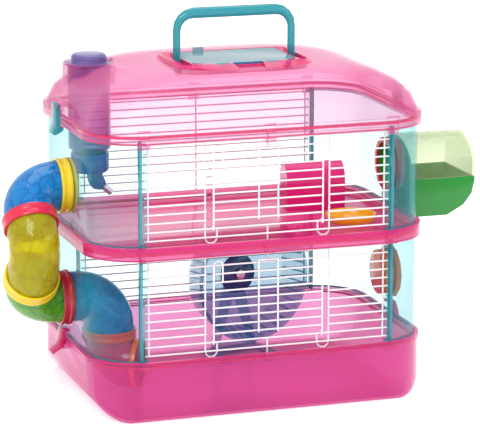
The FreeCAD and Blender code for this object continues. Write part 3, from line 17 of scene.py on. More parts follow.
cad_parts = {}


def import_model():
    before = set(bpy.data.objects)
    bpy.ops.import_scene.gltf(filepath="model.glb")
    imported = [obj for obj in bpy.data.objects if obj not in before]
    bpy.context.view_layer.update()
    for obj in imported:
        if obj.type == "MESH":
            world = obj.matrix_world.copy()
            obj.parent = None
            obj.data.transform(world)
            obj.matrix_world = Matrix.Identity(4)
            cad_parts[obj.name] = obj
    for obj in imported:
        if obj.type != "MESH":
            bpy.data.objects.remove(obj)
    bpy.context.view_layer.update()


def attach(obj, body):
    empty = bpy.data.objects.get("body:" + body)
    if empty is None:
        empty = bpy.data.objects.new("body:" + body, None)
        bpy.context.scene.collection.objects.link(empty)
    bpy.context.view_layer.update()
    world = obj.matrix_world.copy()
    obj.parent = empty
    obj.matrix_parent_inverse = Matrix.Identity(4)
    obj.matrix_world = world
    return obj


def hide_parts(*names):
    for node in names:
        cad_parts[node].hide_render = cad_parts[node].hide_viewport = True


log = logging.getLogger("cage")
Colour = tuple[float, float, float]
Point = tuple[float, float, float]
Profile = Sequence[tuple[float, float]]
Piece = bpy.types.Object
Socket = bpy.types.NodeSocket
Tree = bpy.types.NodeTree
ACROSS, DEPTH, UP = 0, 1, 2
AXIS_X = Vector((1, 0, 0))
AXIS_Y = Vector((0, 1, 0))
AXIS_Z = Vector((0, 0, 1))
LEFT, RIGHT = -1, 1


def metres(place: Sequence[float]) -> Vector:
    """A place given in millimetres, in metres."""
    return Vector(place) * 0.001


def paint(red: int, green: int, blue: int) -> Colour:
    """A colour written as on a screen, 0 to 255, in the linear values that shaders use.

    Args:
        red: amount of red.
        green: amount of green.
        blue: amount of blue.

    Returns:
        The linear colour.
    """
    return tuple(c / 255 / 12.92 if c < 11 else ((c / 255 + 0.055) / 1.055) ** 2.4
                 for c in (red, green, blue))


class Grain(Enum):
    """What breaks up an even surface: noise scale, roughness spread and bump height in mm."""

    FLOW = (24.0, 0.05, 0.5)
    SATIN = (700.0, 0.08, 0.06)
    COATED = (220.0, 0.08, 0.10)
    BRUSHED = (900.0, 0.12, 0.02)
    VEINED = (58.0, 0.06, 0.5)


@dataclass(frozen=True)
class Band:
    """A strip of deeper colour on a moulding: painted edge glow along a real rim, welt or post of clear
    plastic, or a real coloured tab.

    Attributes:
        axis: ACROSS, DEPTH or UP, the direction that it is measured in.
        middle: distance of the strip's middle from the origin along the axis.
        half: half of its width.
    """

    axis: int
    middle: float
    half: float


@dataclass(frozen=True)
class Finish:
    """One material of the cage.

    Attributes:
        name: material name.
        colour: surface colour.
        tint: colour of the light let through by a see-through finish.
        cover: share of a surface seen face-on that hides what is behind it; 1 for a solid finish.
        edge_cover: the same for a surface seen edge-on.
        roughness: middle value of the roughness.
        metallic: 1 for bare metal.
        coat: weight of a clear top layer.
        grain: surface variation.
        dark: colour of the real veins and tabs, and of the painted edge glow in the bands.
        bands: strips of deeper colour: painted edge glow along rims and posts, or real tabs.
    """

    name: str
    colour: Colour
    tint: Colour = (1.0, 1.0, 1.0)
    cover: float = 1.0
    edge_cover: float = 1.0
    roughness: float = 0.14
    metallic: float = 0.0
    coat: float = 0.3
    grain: Grain = Grain.FLOW
    dark: Colour | None = None
    bands: tuple[Band, ...] = ()

    def material(self) -> bpy.types.Material:
        """Makes the Blender material, the first time that it is asked for.

        Returns:
            The material.
        """
        name = self.name + "_finish"
        found = bpy.data.materials.get(name)
        if found:
            return found
        made = bpy.data.materials.new(name)
        made.use_nodes = True
        tree = made.node_tree
        shader = tree.nodes["Principled BSDF"]
        shader.inputs["Metallic"].default_value = self.metallic
        shader.inputs["IOR"].default_value = 1.49
        shader.inputs["Coat Weight"].default_value = self.coat
        shader.inputs["Coat Roughness"].default_value = 0.03
        place = tree.nodes.new("ShaderNodeTexCoord").outputs["Object"]
        marks = self._marks(tree, place)
        self._surface(tree, shader, place, marks)
        if self.cover < 1.0:
            self._see_through(tree, shader, marks)
        return made

    def _marks(self, tree: Tree, place: Socket) -> Socket | None:
        """Where the surface is darker: in its bands, which are painted edge glow or real tabs, and along its
        real veins.

        Args:
            tree: node tree of the material.
            place: object coordinates.

        Returns:
            A socket that is 1 in a band or vein and 0 elsewhere, or None where there are none.
        """
        parts = []
        if self.bands:
            split = add_node(tree, "SeparateXYZ", {"Vector": place})
        for band in self.bands:
            size = math_node(tree, "ABSOLUTE", split.outputs[band.axis])
            parts.append(math_node(tree, "COMPARE", size, band.middle * 0.001, band.half * 0.001))
        if self.grain is Grain.VEINED:
            parts.append(self._veins(tree, place))
        while len(parts) > 1:
            parts.append(math_node(tree, "MAXIMUM", parts.pop(0), parts.pop(0)))
        return parts[0] if parts else None

    def _veins(self, tree: Tree, place: Socket) -> Socket:
        """A net of fine moulded grip lines.

        Args:
            tree: node tree of the material.
            place: object coordinates.

        Returns:
            A socket that rises to 0.75 along the lines.
        """
        bent = add_node(tree, "TexNoise", {"Vector": place, "Scale": 45.0})
        sway = add_node(tree, "VectorMath", {0: bent.outputs["Color"], 1: (0.02, 0.02, 0.02), 2: place},
                        operation="MULTIPLY_ADD")
        cells = add_node(tree, "TexVoronoi", {"Vector": sway.outputs[0], "Scale": self.grain.value[0]},
                         feature="DISTANCE_TO_EDGE")
        return ramp(tree, cells.outputs["Distance"], 0.75, 0.0, 0.09)

    def _surface(self, tree: Tree, shader: bpy.types.Node, place: Socket, marks: Socket | None) -> None:
        """Colour, roughness and bump from noise in the piece's own coordinates.

        Args:
            tree: node tree of the material.
            shader: its Principled node.
            place: object coordinates.
            marks: bands and veins.
        """
        scale, spread, height = self.grain.value
        noise = add_node(tree, "TexNoise", {"Vector": place, "Scale": scale, "Detail": 3.0}).outputs["Fac"]
        rough = ramp(tree, noise, max(0.02, self.roughness - spread), self.roughness + spread)
        pale = tuple(min(1.0, c * 1.05) for c in self.colour)
        deep = tuple(c * 0.92 for c in self.colour)
        body = colour_mix(tree, noise, deep, pale)
        raised = noise
        if marks:
            # Bands take the dark colour as painted edge glow; veins and tabs take it as their real colour.
            body = colour_mix(tree, marks, body, self.dark or tuple(c * 0.5 for c in self.colour))
            raised = math_node(tree, "MULTIPLY_ADD", marks, 0.5, noise)
        bump = add_node(tree, "Bump", {"Strength": 0.3, "Distance": height * 0.001, "Height": raised})
        tree.links.new(rough, shader.inputs["Roughness"])
        tree.links.new(body, shader.inputs["Base Color"])
        tree.links.new(bump.outputs["Normal"], shader.inputs["Normal"])

    def _see_through(self, tree: Tree, shader: bpy.types.Node, marks: Socket | None) -> None:
        """Lets tinted light through, less so where the wall is seen edge-on, in its bands of painted edge
        glow or real tabs, and along its veins.

        Args:
            tree: node tree of the material.
            shader: its Principled node.
            marks: bands and veins.
        """
        facing = add_node(tree, "LayerWeight", {"Blend": 0.3})
        share = ramp(tree, facing.outputs["Facing"], self.cover, self.edge_cover)
        if marks:
            # The painted edge glow of the bands, and the real tabs and veins, hide more of what is behind.
            share = math_node(tree, "MAXIMUM", share, math_node(tree, "MULTIPLY", marks, 0.85))
        clear = add_node(tree, "BsdfTransparent", {"Color": (*self.tint, 1.0)})
        mix = add_node(tree, "MixShader", {"Fac": share, 1: clear.outputs["BSDF"], 2: shader.outputs["BSDF"]})
        tree.links.new(mix.outputs["Shader"], tree.nodes["Material Output"].inputs["Surface"])


def add_node(tree: Tree, kind: str, inputs: dict[str | int, object], **settings: str) -> bpy.types.Node:
    """Adds a shader node.

    Args:
        tree: node tree to add it to.
        kind: its type, without "ShaderNode".
        inputs: sockets or values for its inputs, by name or number.
        settings: its own settings.

    Returns:
        The node.
    """
    node = tree.nodes.new("ShaderNode" + kind)
    for setting, value in settings.items():
        setattr(node, setting, value)
    for key, value in inputs.items():
        if isinstance(value, Socket):
            tree.links.new(value, node.inputs[key])
        else:
            node.inputs[key].default_value = value
    return node


def math_node(tree: Tree, operation: str, *values: Socket | float) -> Socket:
    """The output of one Math node with these inputs."""
    return add_node(tree, "Math", dict(enumerate(values)), operation=operation).outputs[0]


def ramp(tree: Tree, value: Socket, low: float, high: float, reach: float = 1.0) -> Socket:
    """A value led from one range to another.

    Args:
        tree: node tree to add the node to.
        value: the value, from 0 up.
        low: what 0 becomes.
        high: what reach and all above it become.
        reach: upper end of the value's range.

    Returns:
        The new value.
    """
    limits = {"Value": value, "From Max": reach, "To Min": low, "To Max": high}
    return add_node(tree, "MapRange", limits).outputs["Result"]


def colour_mix(tree: Tree, factor: Socket, first: Socket | Colour, second: Socket | Colour) -> Socket:
    """One colour Mix node.

    Args:
        tree: node tree to add it to.
        factor: share of the second colour.
        first: colour where the factor is 0.
        second: colour where the factor is 1.

    Returns:
        The mixed colour.
    """
    first, second = (c if isinstance(c, Socket) else (*c, 1.0) for c in (first, second))
    return add_node(tree, "Mix", {0: factor, 6: first, 7: second}, data_type="RGBA").outputs[2]


# Painted edge glow: deep-coloured strips laid on the real rims, welts and thickened posts of the clear
# mouldings, standing in for light piped along the sheets to their edges. LID_FRONT is the lid's real blue
# tabs.
EDGE_GLOW_PINK = paint(214, 8, 98)
DOME_FOOT_GLOW = Band(UP, 326.9, 1.2)
DECK_GLOW_LINES = (Band(UP, 187.4, 0.5), Band(UP, 194.5, 1.6))
TRAY_GLOW_LINES = (Band(UP, 64.6, 0.7), Band(UP, 69.4, 0.6))
RING_GLOW_LINE = Band(UP, 319.6, 0.5)
WALL_POST_GLOW = Band(ACROSS, 149.6, 1.8)
WALL_EDGE_GLOW = tuple(Band(UP, height, 0.5) for height in (70.8, 186.4, 202.7, 318.3))
LID_FRONT = Band(DEPTH, 62.0, 4.7)

PINK_DOME = Finish("pink_dome", paint(232, 104, 168), (1.0, 0.84, 0.92), 0.07, 0.72, 0.07,
                   dark=EDGE_GLOW_PINK, bands=(DOME_FOOT_GLOW,))
PINK_DECK = Finish("pink_deck", paint(242, 56, 146), (1.0, 0.62, 0.80), 0.42, 0.88, 0.10,
                   dark=EDGE_GLOW_PINK, bands=DECK_GLOW_LINES)
PINK_TRAY = Finish("pink_tray", paint(238, 82, 168), (1.0, 0.66, 0.88), 0.24, 0.82, 0.10,
                   dark=EDGE_GLOW_PINK, bands=TRAY_GLOW_LINES)
PINK_RING = Finish("pink_ring", paint(240, 120, 178), (1.0, 0.84, 0.92), 0.18, 0.75, 0.10,
                   dark=EDGE_GLOW_PINK, bands=(RING_GLOW_LINE,))
MAGENTA = Finish("magenta_clear", paint(232, 20, 120), (1.0, 0.40, 0.66), 0.55, 0.95, 0.10)
# Its dark colour is the painted edge glow on the wall posts and edges.
AQUA = Finish("aqua_clear", paint(52, 196, 202), (0.92, 0.99, 0.99), 0.03, 0.34, 0.05,
              dark=paint(0, 150, 164), bands=(WALL_POST_GLOW, *WALL_EDGE_GLOW))
TEAL = Finish("teal_clear", paint(0, 142, 158), (0.42, 0.88, 0.90), 0.58, 0.95, 0.08)
LID = Finish("lid_clear", paint(140, 182, 194), (0.72, 0.88, 0.92), 0.55, 0.90, 0.10,
             dark=paint(0, 112, 165), bands=(LID_FRONT,))
WIRE = Finish("white_wire", paint(246, 246, 248), roughness=0.30, grain=Grain.COATED)
TUBE_BLUE = Finish("tube_blue", paint(0, 146, 220), (0.30, 0.74, 1.0), 0.62, 0.94, 0.08,
                   grain=Grain.VEINED, dark=paint(0, 92, 168))
TUBE_YELLOW = Finish("tube_yellow", paint(222, 204, 10), (0.94, 0.92, 0.30), 0.34, 0.88, 0.07,
                     grain=Grain.VEINED, dark=paint(176, 150, 0))
TUBE_GREEN = Finish("tube_green", paint(96, 190, 30), (0.60, 0.90, 0.30), 0.60, 0.92, 0.08,
                    grain=Grain.VEINED, dark=paint(10, 140, 52))
TUBE_MAGENTA = Finish("tube_magenta", paint(226, 26, 128), (1.0, 0.55, 0.76), 0.55, 0.92, 0.10)
YELLOW = Finish("yellow_solid", paint(250, 214, 18), roughness=0.2)
CRIMSON = Finish("crimson_solid", paint(226, 22, 72), roughness=0.2)
RED = Finish("red_solid", paint(190, 34, 46), roughness=0.2)
RED_ORANGE = Finish("red_orange_solid", paint(222, 54, 34), roughness=0.2)
ORANGE = Finish("orange_solid", paint(250, 118, 0), roughness=0.2)
COUPLER = Finish("coupler_green", paint(0, 166, 126), roughness=0.2)
NEST_GREEN = Finish("nest_green", paint(0, 142, 34), roughness=0.22)
NEST_CLEAR = Finish("nest_clear", paint(206, 220, 170), (0.96, 0.985, 0.91), 0.08, 0.70, 0.06)
WHEEL_BLUE = Finish("wheel_blue", paint(64, 168, 218), (0.80, 0.93, 0.98), 0.28, 0.85, 0.08)
HUB_BLUE = Finish("hub_blue", paint(16, 74, 134), roughness=0.15)
STAND_BLUE = Finish("stand_blue", paint(70, 160, 205), (0.82, 0.93, 0.98), 0.22, 0.80, 0.10)
HOUSE = Finish("house_magenta", paint(236, 26, 138), roughness=0.32, grain=Grain.SATIN)
DISH = Finish("dish_yellow", paint(252, 196, 10), roughness=0.2)
BOTTLE = Finish("bottle_clear", paint(118, 104, 172), (0.84, 0.82, 0.95), 0.30, 0.85, 0.05)
CAP_BLUE = Finish("cap_blue", paint(30, 40, 170), roughness=0.2)
STEEL = Finish("steel", paint(206, 204, 204), roughness=0.2, metallic=1.0, coat=0.0, grain=Grain.BRUSHED)


class Bench:
    """Modelling steps, done as by hand on one piece at a time."""

    @staticmethod
    def take(piece: Piece, *others: Piece) -> None:
        """Selects a piece, and others with it, and makes it the active one.

        Args:
            piece: the piece to work on.
            others: pieces selected with it.
        """
        bpy.ops.object.select_all(action="DESELECT")
        for each in (piece, *others):
            each.select_set(True)
        bpy.context.view_layer.objects.active = piece

    @staticmethod
    def open_all() -> None:
        """Edit mode on the active piece, with all of its points selected."""
        bpy.context.tool_settings.mesh_select_mode = (True, False, False)
        bpy.ops.object.mode_set(mode="EDIT")
        bpy.ops.mesh.select_all(action="SELECT")

    @staticmethod
    def round_edges(piece: Piece, wanted: Callable[[Vector, Vector], bool], radius: float,
                    segments: int) -> None:
        """Rounds the edges that a test picks by their two ends.

        Args:
            piece: the piece, in object mode with its place in its mesh.
            wanted: the test, given both ends in metres.
            radius: radius of the rounding in millimetres.
            segments: steps across it.
        """
        mesh = piece.data
        mesh.vertices.foreach_set("select", [False] * len(mesh.vertices))
        mesh.polygons.foreach_set("select", [False] * len(mesh.polygons))
        for edge in mesh.edges:
            edge.select = wanted(*(mesh.vertices[i].co for i in edge.vertices))
        Bench.take(piece)
        bpy.context.tool_settings.mesh_select_mode = (False, True, False)
        bpy.ops.object.mode_set(mode="EDIT")
        bpy.ops.mesh.bevel(offset=radius * 0.001, segments=segments)
        bpy.ops.object.mode_set(mode="OBJECT")

    @staticmethod
    def done(piece: Piece, name: str, smooth: float = 35.0) -> Piece:
        """Puts the place in the mesh and shades the piece.

        Args:
            piece: the piece, in object mode.
            name: its name.
            smooth: edges below this angle in degrees are shaded smooth.

        Returns:
            The piece.
        """
        Bench.take(piece)
        bpy.ops.object.transform_apply(location=True, rotation=True, scale=True)
        bpy.ops.object.shade_smooth_by_angle(angle=math.radians(smooth))
        piece.name = name
        piece.data.name = name
        return piece

    @staticmethod
    def soften(piece: Piece, width: float, angle: float = 35.0, segments: int = 2) -> None:
        """Rounds a piece's sharp edges.

        Args:
            piece: the piece, in object mode.
            width: width of the rounding.
            angle: edges sharper than this are rounded.
            segments: steps across the rounding.
        """
        Bench.take(piece)
        soft = piece.modifiers.new("soft_edges", "BEVEL")
        soft.width = width * 0.001
        soft.segments = segments
        soft.limit_method = "ANGLE"
        soft.angle_limit = math.radians(angle)
        bpy.ops.object.modifier_apply(modifier=soft.name)

    @staticmethod
    def tidy() -> None:
        """Merges doubles and turns faces outwards, in edit mode."""
        bpy.ops.mesh.select_all(action="SELECT")
        bpy.ops.mesh.remove_doubles(threshold=0.000004)
        bpy.ops.mesh.normals_make_consistent(inside=False)

    @staticmethod
    def revolve(name: str, profile: Profile, origin: Sequence[float], axis: Vector, soft: float = 0.4,
                steps: int = 56) -> Piece:
        """A turned piece: its outline is drawn point by point and spun round an axis.

        Args:
            name: the piece's name.
            profile: radius and distance along the axis of each corner, as a closed outline or one
                that starts and ends on the axis.
            origin: where distance 0 lies.
            axis: unit vector along the axis.
            soft: rounding of its edges.
            steps: steps round the axis.

        Returns:
            The piece.
        """
        side = axis.cross(AXIS_Z if abs(axis.z) < 0.9 else AXIS_X).normalized()
        corners = [metres(Vector(origin) + side * r + axis * along) for r, along in profile]
        bpy.ops.object.select_all(action="DESELECT")
        bpy.ops.mesh.primitive_plane_add(size=0.001, location=corners[0])
        piece = bpy.context.object
        Bench.open_all()
        bpy.ops.mesh.merge(type="CENTER")
        on_axis = profile[0][0] == 0 and profile[-1][0] == 0
        for here, following in zip(corners, corners[1:] + ([] if on_axis else corners[:1])):
            bpy.ops.mesh.extrude_region_move(TRANSFORM_OT_translate={"value": following - here})
        bpy.ops.mesh.select_all(action="SELECT")
        bpy.ops.mesh.spin(steps=steps, angle=math.tau, center=metres(origin), axis=axis)
        Bench.tidy()
        bpy.ops.object.mode_set(mode="OBJECT")
        if soft:
            Bench.soften(piece, soft)
        return Bench.done(piece, name)

    @staticmethod
    def bar(start: Vector, heading: Vector, radius: float, sides: int, capped: bool = True) -> Piece:
        """The first ring of a bar or tube, left in edit mode for run() and turn().

        Args:
            start: middle of its end.
            heading: unit vector along it.
            radius: its radius.
            sides: corners of its section.
            capped: whether its ends are closed.

        Returns:
            The piece.
        """
        bpy.ops.object.select_all(action="DESELECT")
        bpy.ops.mesh.primitive_circle_add(vertices=sides, radius=radius * 0.001, location=metres(start),
                                          fill_type="NGON" if capped else "NOTHING",
                                          rotation=heading.to_track_quat("Z", "Y").to_euler())
        Bench.open_all()
        return bpy.context.object

    @staticmethod
    def run(way: Vector) -> None:
        """Lengthens the bar in hand along a straight line."""
        bpy.ops.mesh.extrude_region_move(TRANSFORM_OT_translate={"value": metres(way)})

    @staticmethod
    def turn(centre: Vector, axis: Vector, degrees: float, steps: int = 8) -> None:
        """Bends the bar in hand round a centre.

        Args:
            centre: middle of the bend.
            axis: unit vector that the bend turns round, by the right-hand rule.
            degrees: how far it turns.
            steps: lengths that the bend is made in.
        """
        bpy.ops.mesh.spin(steps=steps, angle=-math.radians(degrees), center=metres(centre), axis=axis)

    @staticmethod
    def leave(name: str) -> Piece:
        """Ends the bar in hand.

        Args:
            name: its name.

        Returns:
            The piece.
        """
        piece = bpy.context.object
        Bench.tidy()
        bpy.ops.object.mode_set(mode="OBJECT")
        return Bench.done(piece, name)

    @staticmethod
    def rod(start: Vector, end: Vector, radius: float, sides: int = 12) -> Piece:
        """A straight round wire between two points.

        Args:
            start: middle of one end.
            end: middle of the other.
            radius: its radius.
            sides: corners of its section.

        Returns:
            The wire.
        """
        Bench.bar(start, (end - start).normalized(), radius, sides)
        Bench.run(end - start)
        return Bench.leave("wire")

    @staticmethod
    def block(name: str, low: Point, high: Point, soft: float = 0.5) -> Piece:
        """A block between two corners, with its edges rounded.

        Args:
            name: the piece's name.
            low: lowest corner.
            high: highest corner.
            soft: rounding of its edges.

        Returns:
            The piece.
        """
        middle, size = (Vector(low) + Vector(high)) / 2, Vector(high) - Vector(low)
        bpy.ops.object.select_all(action="DESELECT")
        bpy.ops.mesh.primitive_cube_add(size=1.0, location=metres(middle), scale=metres(size))
        piece = bpy.context.object
        bpy.ops.object.transform_apply(location=True, rotation=True, scale=True)
        if soft:
            Bench.soften(piece, soft)
        return Bench.done(piece, name)

    @staticmethod
    def copy(piece: Piece, way: Sequence[float]) -> Piece:
        """A copy with its own mesh.

        Args:
            piece: the piece to copy.
            way: how far the copy is moved.

        Returns:
            The copy.
        """
        twin = piece.copy()
        twin.data = piece.data.copy()
        twin.data.transform(Matrix.Translation(metres(way)))
        bpy.context.scene.collection.objects.link(twin)
        return twin

    @staticmethod
    def spread(piece: Piece, count: int, centre: Sequence[float], axis: str) -> list[Piece]:
        """Copies of a piece spread evenly round an axis, in place of the piece itself.

        Args:
            piece: the piece, which is taken away.
            count: number of copies.
            centre: a place on the axis.
            axis: "X", "Y" or "Z", the axis's direction.

        Returns:
            The copies.
        """
        about = Matrix.Translation(metres(centre))
        copies = []
        for place in range(count):
            twin = Bench.copy(piece, (0, 0, 0))
            turned = Matrix.Rotation(math.tau * place / count, 4, axis)
            twin.data.transform(about @ turned @ about.inverted())
            copies.append(twin)
        bpy.data.objects.remove(piece)
        return copies

    @staticmethod
    def join(name: str, pieces: Sequence[Piece]) -> Piece:
        """Makes one piece of several.

        Args:
            name: the new piece's name.
            pieces: what it is made of.

        Returns:
            The piece.
        """
        Bench.take(*pieces)
        bpy.ops.object.join()
        pieces[0].name = name
        pieces[0].data.name = name
        return pieces[0]

    @staticmethod
    def cut(piece: Piece, tool: Piece) -> None:
        """Cuts a tool's shape out of a piece and takes the tool away.

        Args:
            piece: the piece.
            tool: the shape to cut out.
        """
        Bench.take(piece)
        opening = piece.modifiers.new("opening", "BOOLEAN")
        opening.operation = "DIFFERENCE"
        opening.object = tool
        opening.solver = "EXACT"
        bpy.ops.object.modifier_apply(modifier=opening.name)
        bpy.data.objects.remove(tool)

    @staticmethod
    def softened(node: str, soft: float = 0.35, smooth: float = 35.0) -> Piece:
        """A welded copy of a frame node with rounded edges and even shading.

        Args:
            node: name of the frame's node.
            soft: width of the rounding, 0 for none.
            smooth: edges below this angle in degrees are shaded smooth.

        Returns:
            The new piece.
        """
        piece = bpy.data.objects.new(node + "_finished", bpy.data.objects[node].data.copy())
        bpy.context.scene.collection.objects.link(piece)
        Bench.take(piece)
        Bench.open_all()
        bpy.ops.mesh.remove_doubles(threshold=0.000004)
        bpy.ops.mesh.customdata_custom_splitnormals_clear()
        bpy.ops.mesh.dissolve_limited(angle_limit=math.radians(0.6))
        bpy.ops.object.mode_set(mode="OBJECT")
        if soft:
            Bench.soften(piece, soft, angle=40.0)
        return Bench.done(piece, piece.name, smooth)


def fit(piece: Piece, finish: Finish, body: str, slot: str, *nodes: str) -> None:
    """Gives a finished piece its material, its body and the nodes that it stands for.

    Args:
        piece: finished piece.
        finish: its finish.
        body: body that it rides on.
        slot: the record's material slot; not used.
        nodes: frame nodes that it replaces.
    """
    piece.data.materials.clear()
    piece.data.materials.append(finish.material())
    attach(piece, body)
    if nodes:
        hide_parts(*nodes)
    log.info("%s rides %s", piece.name, body)


def fit_softened(node: str, finish: Finish, body: str, slot: str, soft: float = 0.4,
                 smooth: float = 35.0) -> None:
    """Finishes a welded, softened copy of a frame node.

    Args:
        node: name of the frame's node.
        finish: its finish.
        body: body that it rides on.
        slot: the record's material slot.
        soft: width of the rounding, 0 for none.
        smooth: edges below this angle in degrees are shaded smooth.
    """
    fit(Bench.softened(node, soft, smooth), finish, body, slot, node)


@dataclass
class Shell:
    """Tray, middle deck, top ring and the four clear end walls."""

    soft: float = 0.5
    wall_soft: float = 0.3

    def build(self) -> None:
        """Finishes each moulding over its frame node."""
        fit_softened("base_tray", PINK_TRAY, "cage", "pink_smoke", self.soft)
        fit_softened("mid_deck", PINK_DECK, "cage", "pink_clear", self.soft)
        fit_softened("top_frame", PINK_RING, "cage", "magenta_solid", self.soft)
        for storey in ("lower", "upper"):
            for side in ("left", "right"):
                fit_softened(f"side_panel_{storey}_{side}", AQUA, "cage", "clear_aqua", self.wall_soft)


@dataclass
class WireFront:
    """Welded wire front with its hooked door, and the plain wire back, of one storey.

    Attributes:
        storey: "lower" or "upper".
        base: top of the rim that the wires stand on.
        wire: radius of a wire.
        plane: distance of the rows from the cage's middle.
        weld: distance from a row to the wires welded across it.
        jamb: distance of the doorway's bent uprights from the middle.
        bend_foot: height above the base where their feet bend back up.
        door_gap: how far the door lies in front of the rows.
        stiffener: distance of the door's inner uprights from the middle.
        hook: radius of the door hooks' bends, with hook_drop the length of their free ends.
        leg_foot: how far the middle leg goes into the rim below, with leg_head its other end.
    """

    storey: str
    base: float
    wire: float = 1.0
    sides: int = 12
    plane: float = 134.5
    weld: float = 1.75
    rows: int = 12
    first_row: float = 6.2
    pitch: float = 9.9
    half_width: float = 145.6
    upright: float = 140.5
    jamb: float = 74.0
    bend: float = 7.0
    bend_foot: float = 5.8
    bend_steps: int = 10
    door_side: float = 65.0
    door_gap: float = 0.4
    stiffener: float = 11.5
    stiffener_foot: float = 2.0
    door_head: float = 3.0
    hook: float = 5.3
    hook_drop: float = 20.0
    eye_bore: float = 1.35
    eye_radius: float = 3.0
    eye_clear: float = 1.5
    leg_foot: float = 4.7
    leg_head: float = 120.3

    def row(self, number: int) -> float:
        """Height of a row of wires, counted from 1 at the bottom."""
        return self.base + self.first_row + self.pitch * (number - 1)

    def build(self) -> None:
        """Makes the front, its door and the back."""
        fit(self.front(), WIRE, "cage", "white_wire", self.storey + "_front_grid")
        fit(self.back(), WIRE, "cage", "white_wire", self.storey + "_back_grid")
        fit(self.door(), WIRE, self.storey + "_door", "white_wire", self.storey + "_front_door")

    def line(self, x0: float, x1: float, y: float, z: float) -> Piece:
        """A wire across the front."""
        return Bench.rod(Vector((x0, y, z)), Vector((x1, y, z)), self.wire, self.sides)

    def post(self, x: float, y: float, z0: float, z1: float) -> Piece:
        """An upright wire."""
        return Bench.rod(Vector((x, y, z0)), Vector((x, y, z1)), self.wire, self.sides)

    def repeated(self, wire: Piece, rows: Sequence[int]) -> list[Piece]:
        """A wire and its copies.

        Args:
            wire: the first wire.
            rows: how many rows above it each copy lies.

        Returns:
            The wire and the copies.
        """
        return [wire] + [Bench.copy(wire, (0, 0, self.pitch * up)) for up in rows]

    def front(self) -> Piece:
        """Full rows at the foot and head, short rows beside the door, and its bent jambs.

        Returns:
            The joined wires.
        """
        y, behind = -self.plane, -self.plane + self.weld
        low, high = self.base + self.bend_foot, self.row(self.rows)
        full = self.line(-self.half_width, self.half_width, y, self.row(1))
        pieces = self.repeated(full, (1, self.rows - 2, self.rows - 1))
        for side in (LEFT, RIGHT):
            short = self.line(side * self.half_width, side * (self.jamb - self.wire), y, self.row(3))
            pieces += self.repeated(short, range(1, self.rows - 4))
            pieces.append(self.post(side * self.upright, behind, self.row(1), high))
            Bench.bar(Vector((side * self.jamb, behind, high)), -AXIS_Z, self.wire, self.sides)
            Bench.run(Vector((0, 0, low - high)))
            centre = Vector((side * (self.jamb - self.bend), behind, low))
            Bench.turn(centre, AXIS_Y, side * 180, self.bend_steps)
            Bench.run(Vector((0, 0, self.row(2) - low)))
            pieces.append(Bench.leave("jamb"))
        pieces.append(self.post(0, behind, self.base - self.leg_foot, self.row(2)))
        pieces.append(self.post(0, behind, self.row(self.rows - 1), self.base + self.leg_head))
        return Bench.join(self.storey + "_front_wires", pieces)

    def back(self) -> Piece:
        """Full rows on three uprights.

        Returns:
            The joined wires.
        """
        y, inside = self.plane, self.plane - self.weld
        full = self.line(-self.half_width, self.half_width, y, self.row(1))
        pieces = self.repeated(full, range(1, self.rows))
        for side in (LEFT, RIGHT):
            pieces.append(self.post(side * self.upright, inside, self.row(1), self.row(self.rows)))
        pieces.append(self.post(0, inside, self.base - self.leg_foot, self.base + self.leg_head))
        return Bench.join(self.storey + "_back_wires", pieces)

    def door(self) -> Piece:
        """Rows between two hooked side wires that turn in eyes on the second row.

        Returns:
            The joined wires.
        """
        y = -self.plane - self.door_gap
        front = y - self.weld
        edge = self.door_side + self.wire
        top, hinge = self.row(self.rows - 1), self.row(2)
        head = top + self.door_head
        pieces = self.repeated(self.line(-edge, edge, y, self.row(3)), range(1, self.rows - 4))
        for side in (LEFT, RIGHT):
            x = side * self.door_side
            Bench.bar(Vector((x, front, hinge + self.eye_clear)), AXIS_Z, self.wire, self.sides)
            Bench.run(Vector((0, 0, top - hinge - self.eye_clear)))
            Bench.turn(Vector((x - side * self.hook, front, top)), AXIS_Y, -side * 180, self.bend_steps)
            Bench.run(Vector((0, 0, -self.hook_drop)))
            pieces.append(Bench.leave("hook"))
            eye = [(self.eye_bore, -self.wire), (self.eye_radius, -self.wire),
                   (self.eye_radius, self.wire), (self.eye_bore, self.wire)]
            pieces.append(Bench.revolve("eye", eye, (x, -self.plane, hinge), AXIS_X, 0.5, 24))
            pieces.append(self.post(side * self.stiffener, front, self.row(3) - self.stiffener_foot, head))
        pieces.append(self.line(-self.stiffener, self.stiffener, front, head))
        return Bench.join(self.storey + "_door_wires", pieces)


@dataclass
class Roof:
    """Domed roof with its hatch, lid, carrying handle and side latches."""

    curved: float = 50.0

    def build(self) -> None:
        """Finishes the roof's pieces."""
        fit_softened("dome_roof", PINK_DOME, "cage", "pink_clear", smooth=self.curved)
        fit_softened("hatch_frame", MAGENTA, "cage", "magenta_solid")
        fit_softened("hatch_lid", LID, "lid", "lid_clear")
        fit_softened("carry_handle", TEAL, "handle", "teal_clear", soft=0.0, smooth=self.curved)
        for side in ("left", "right"):
            fit_softened("roof_latch_" + side, TEAL, "roof_lever_" + side, "teal_clear")
            fit_softened("tray_latch_" + side, MAGENTA, "tray_lever_" + side, "pink_clear")


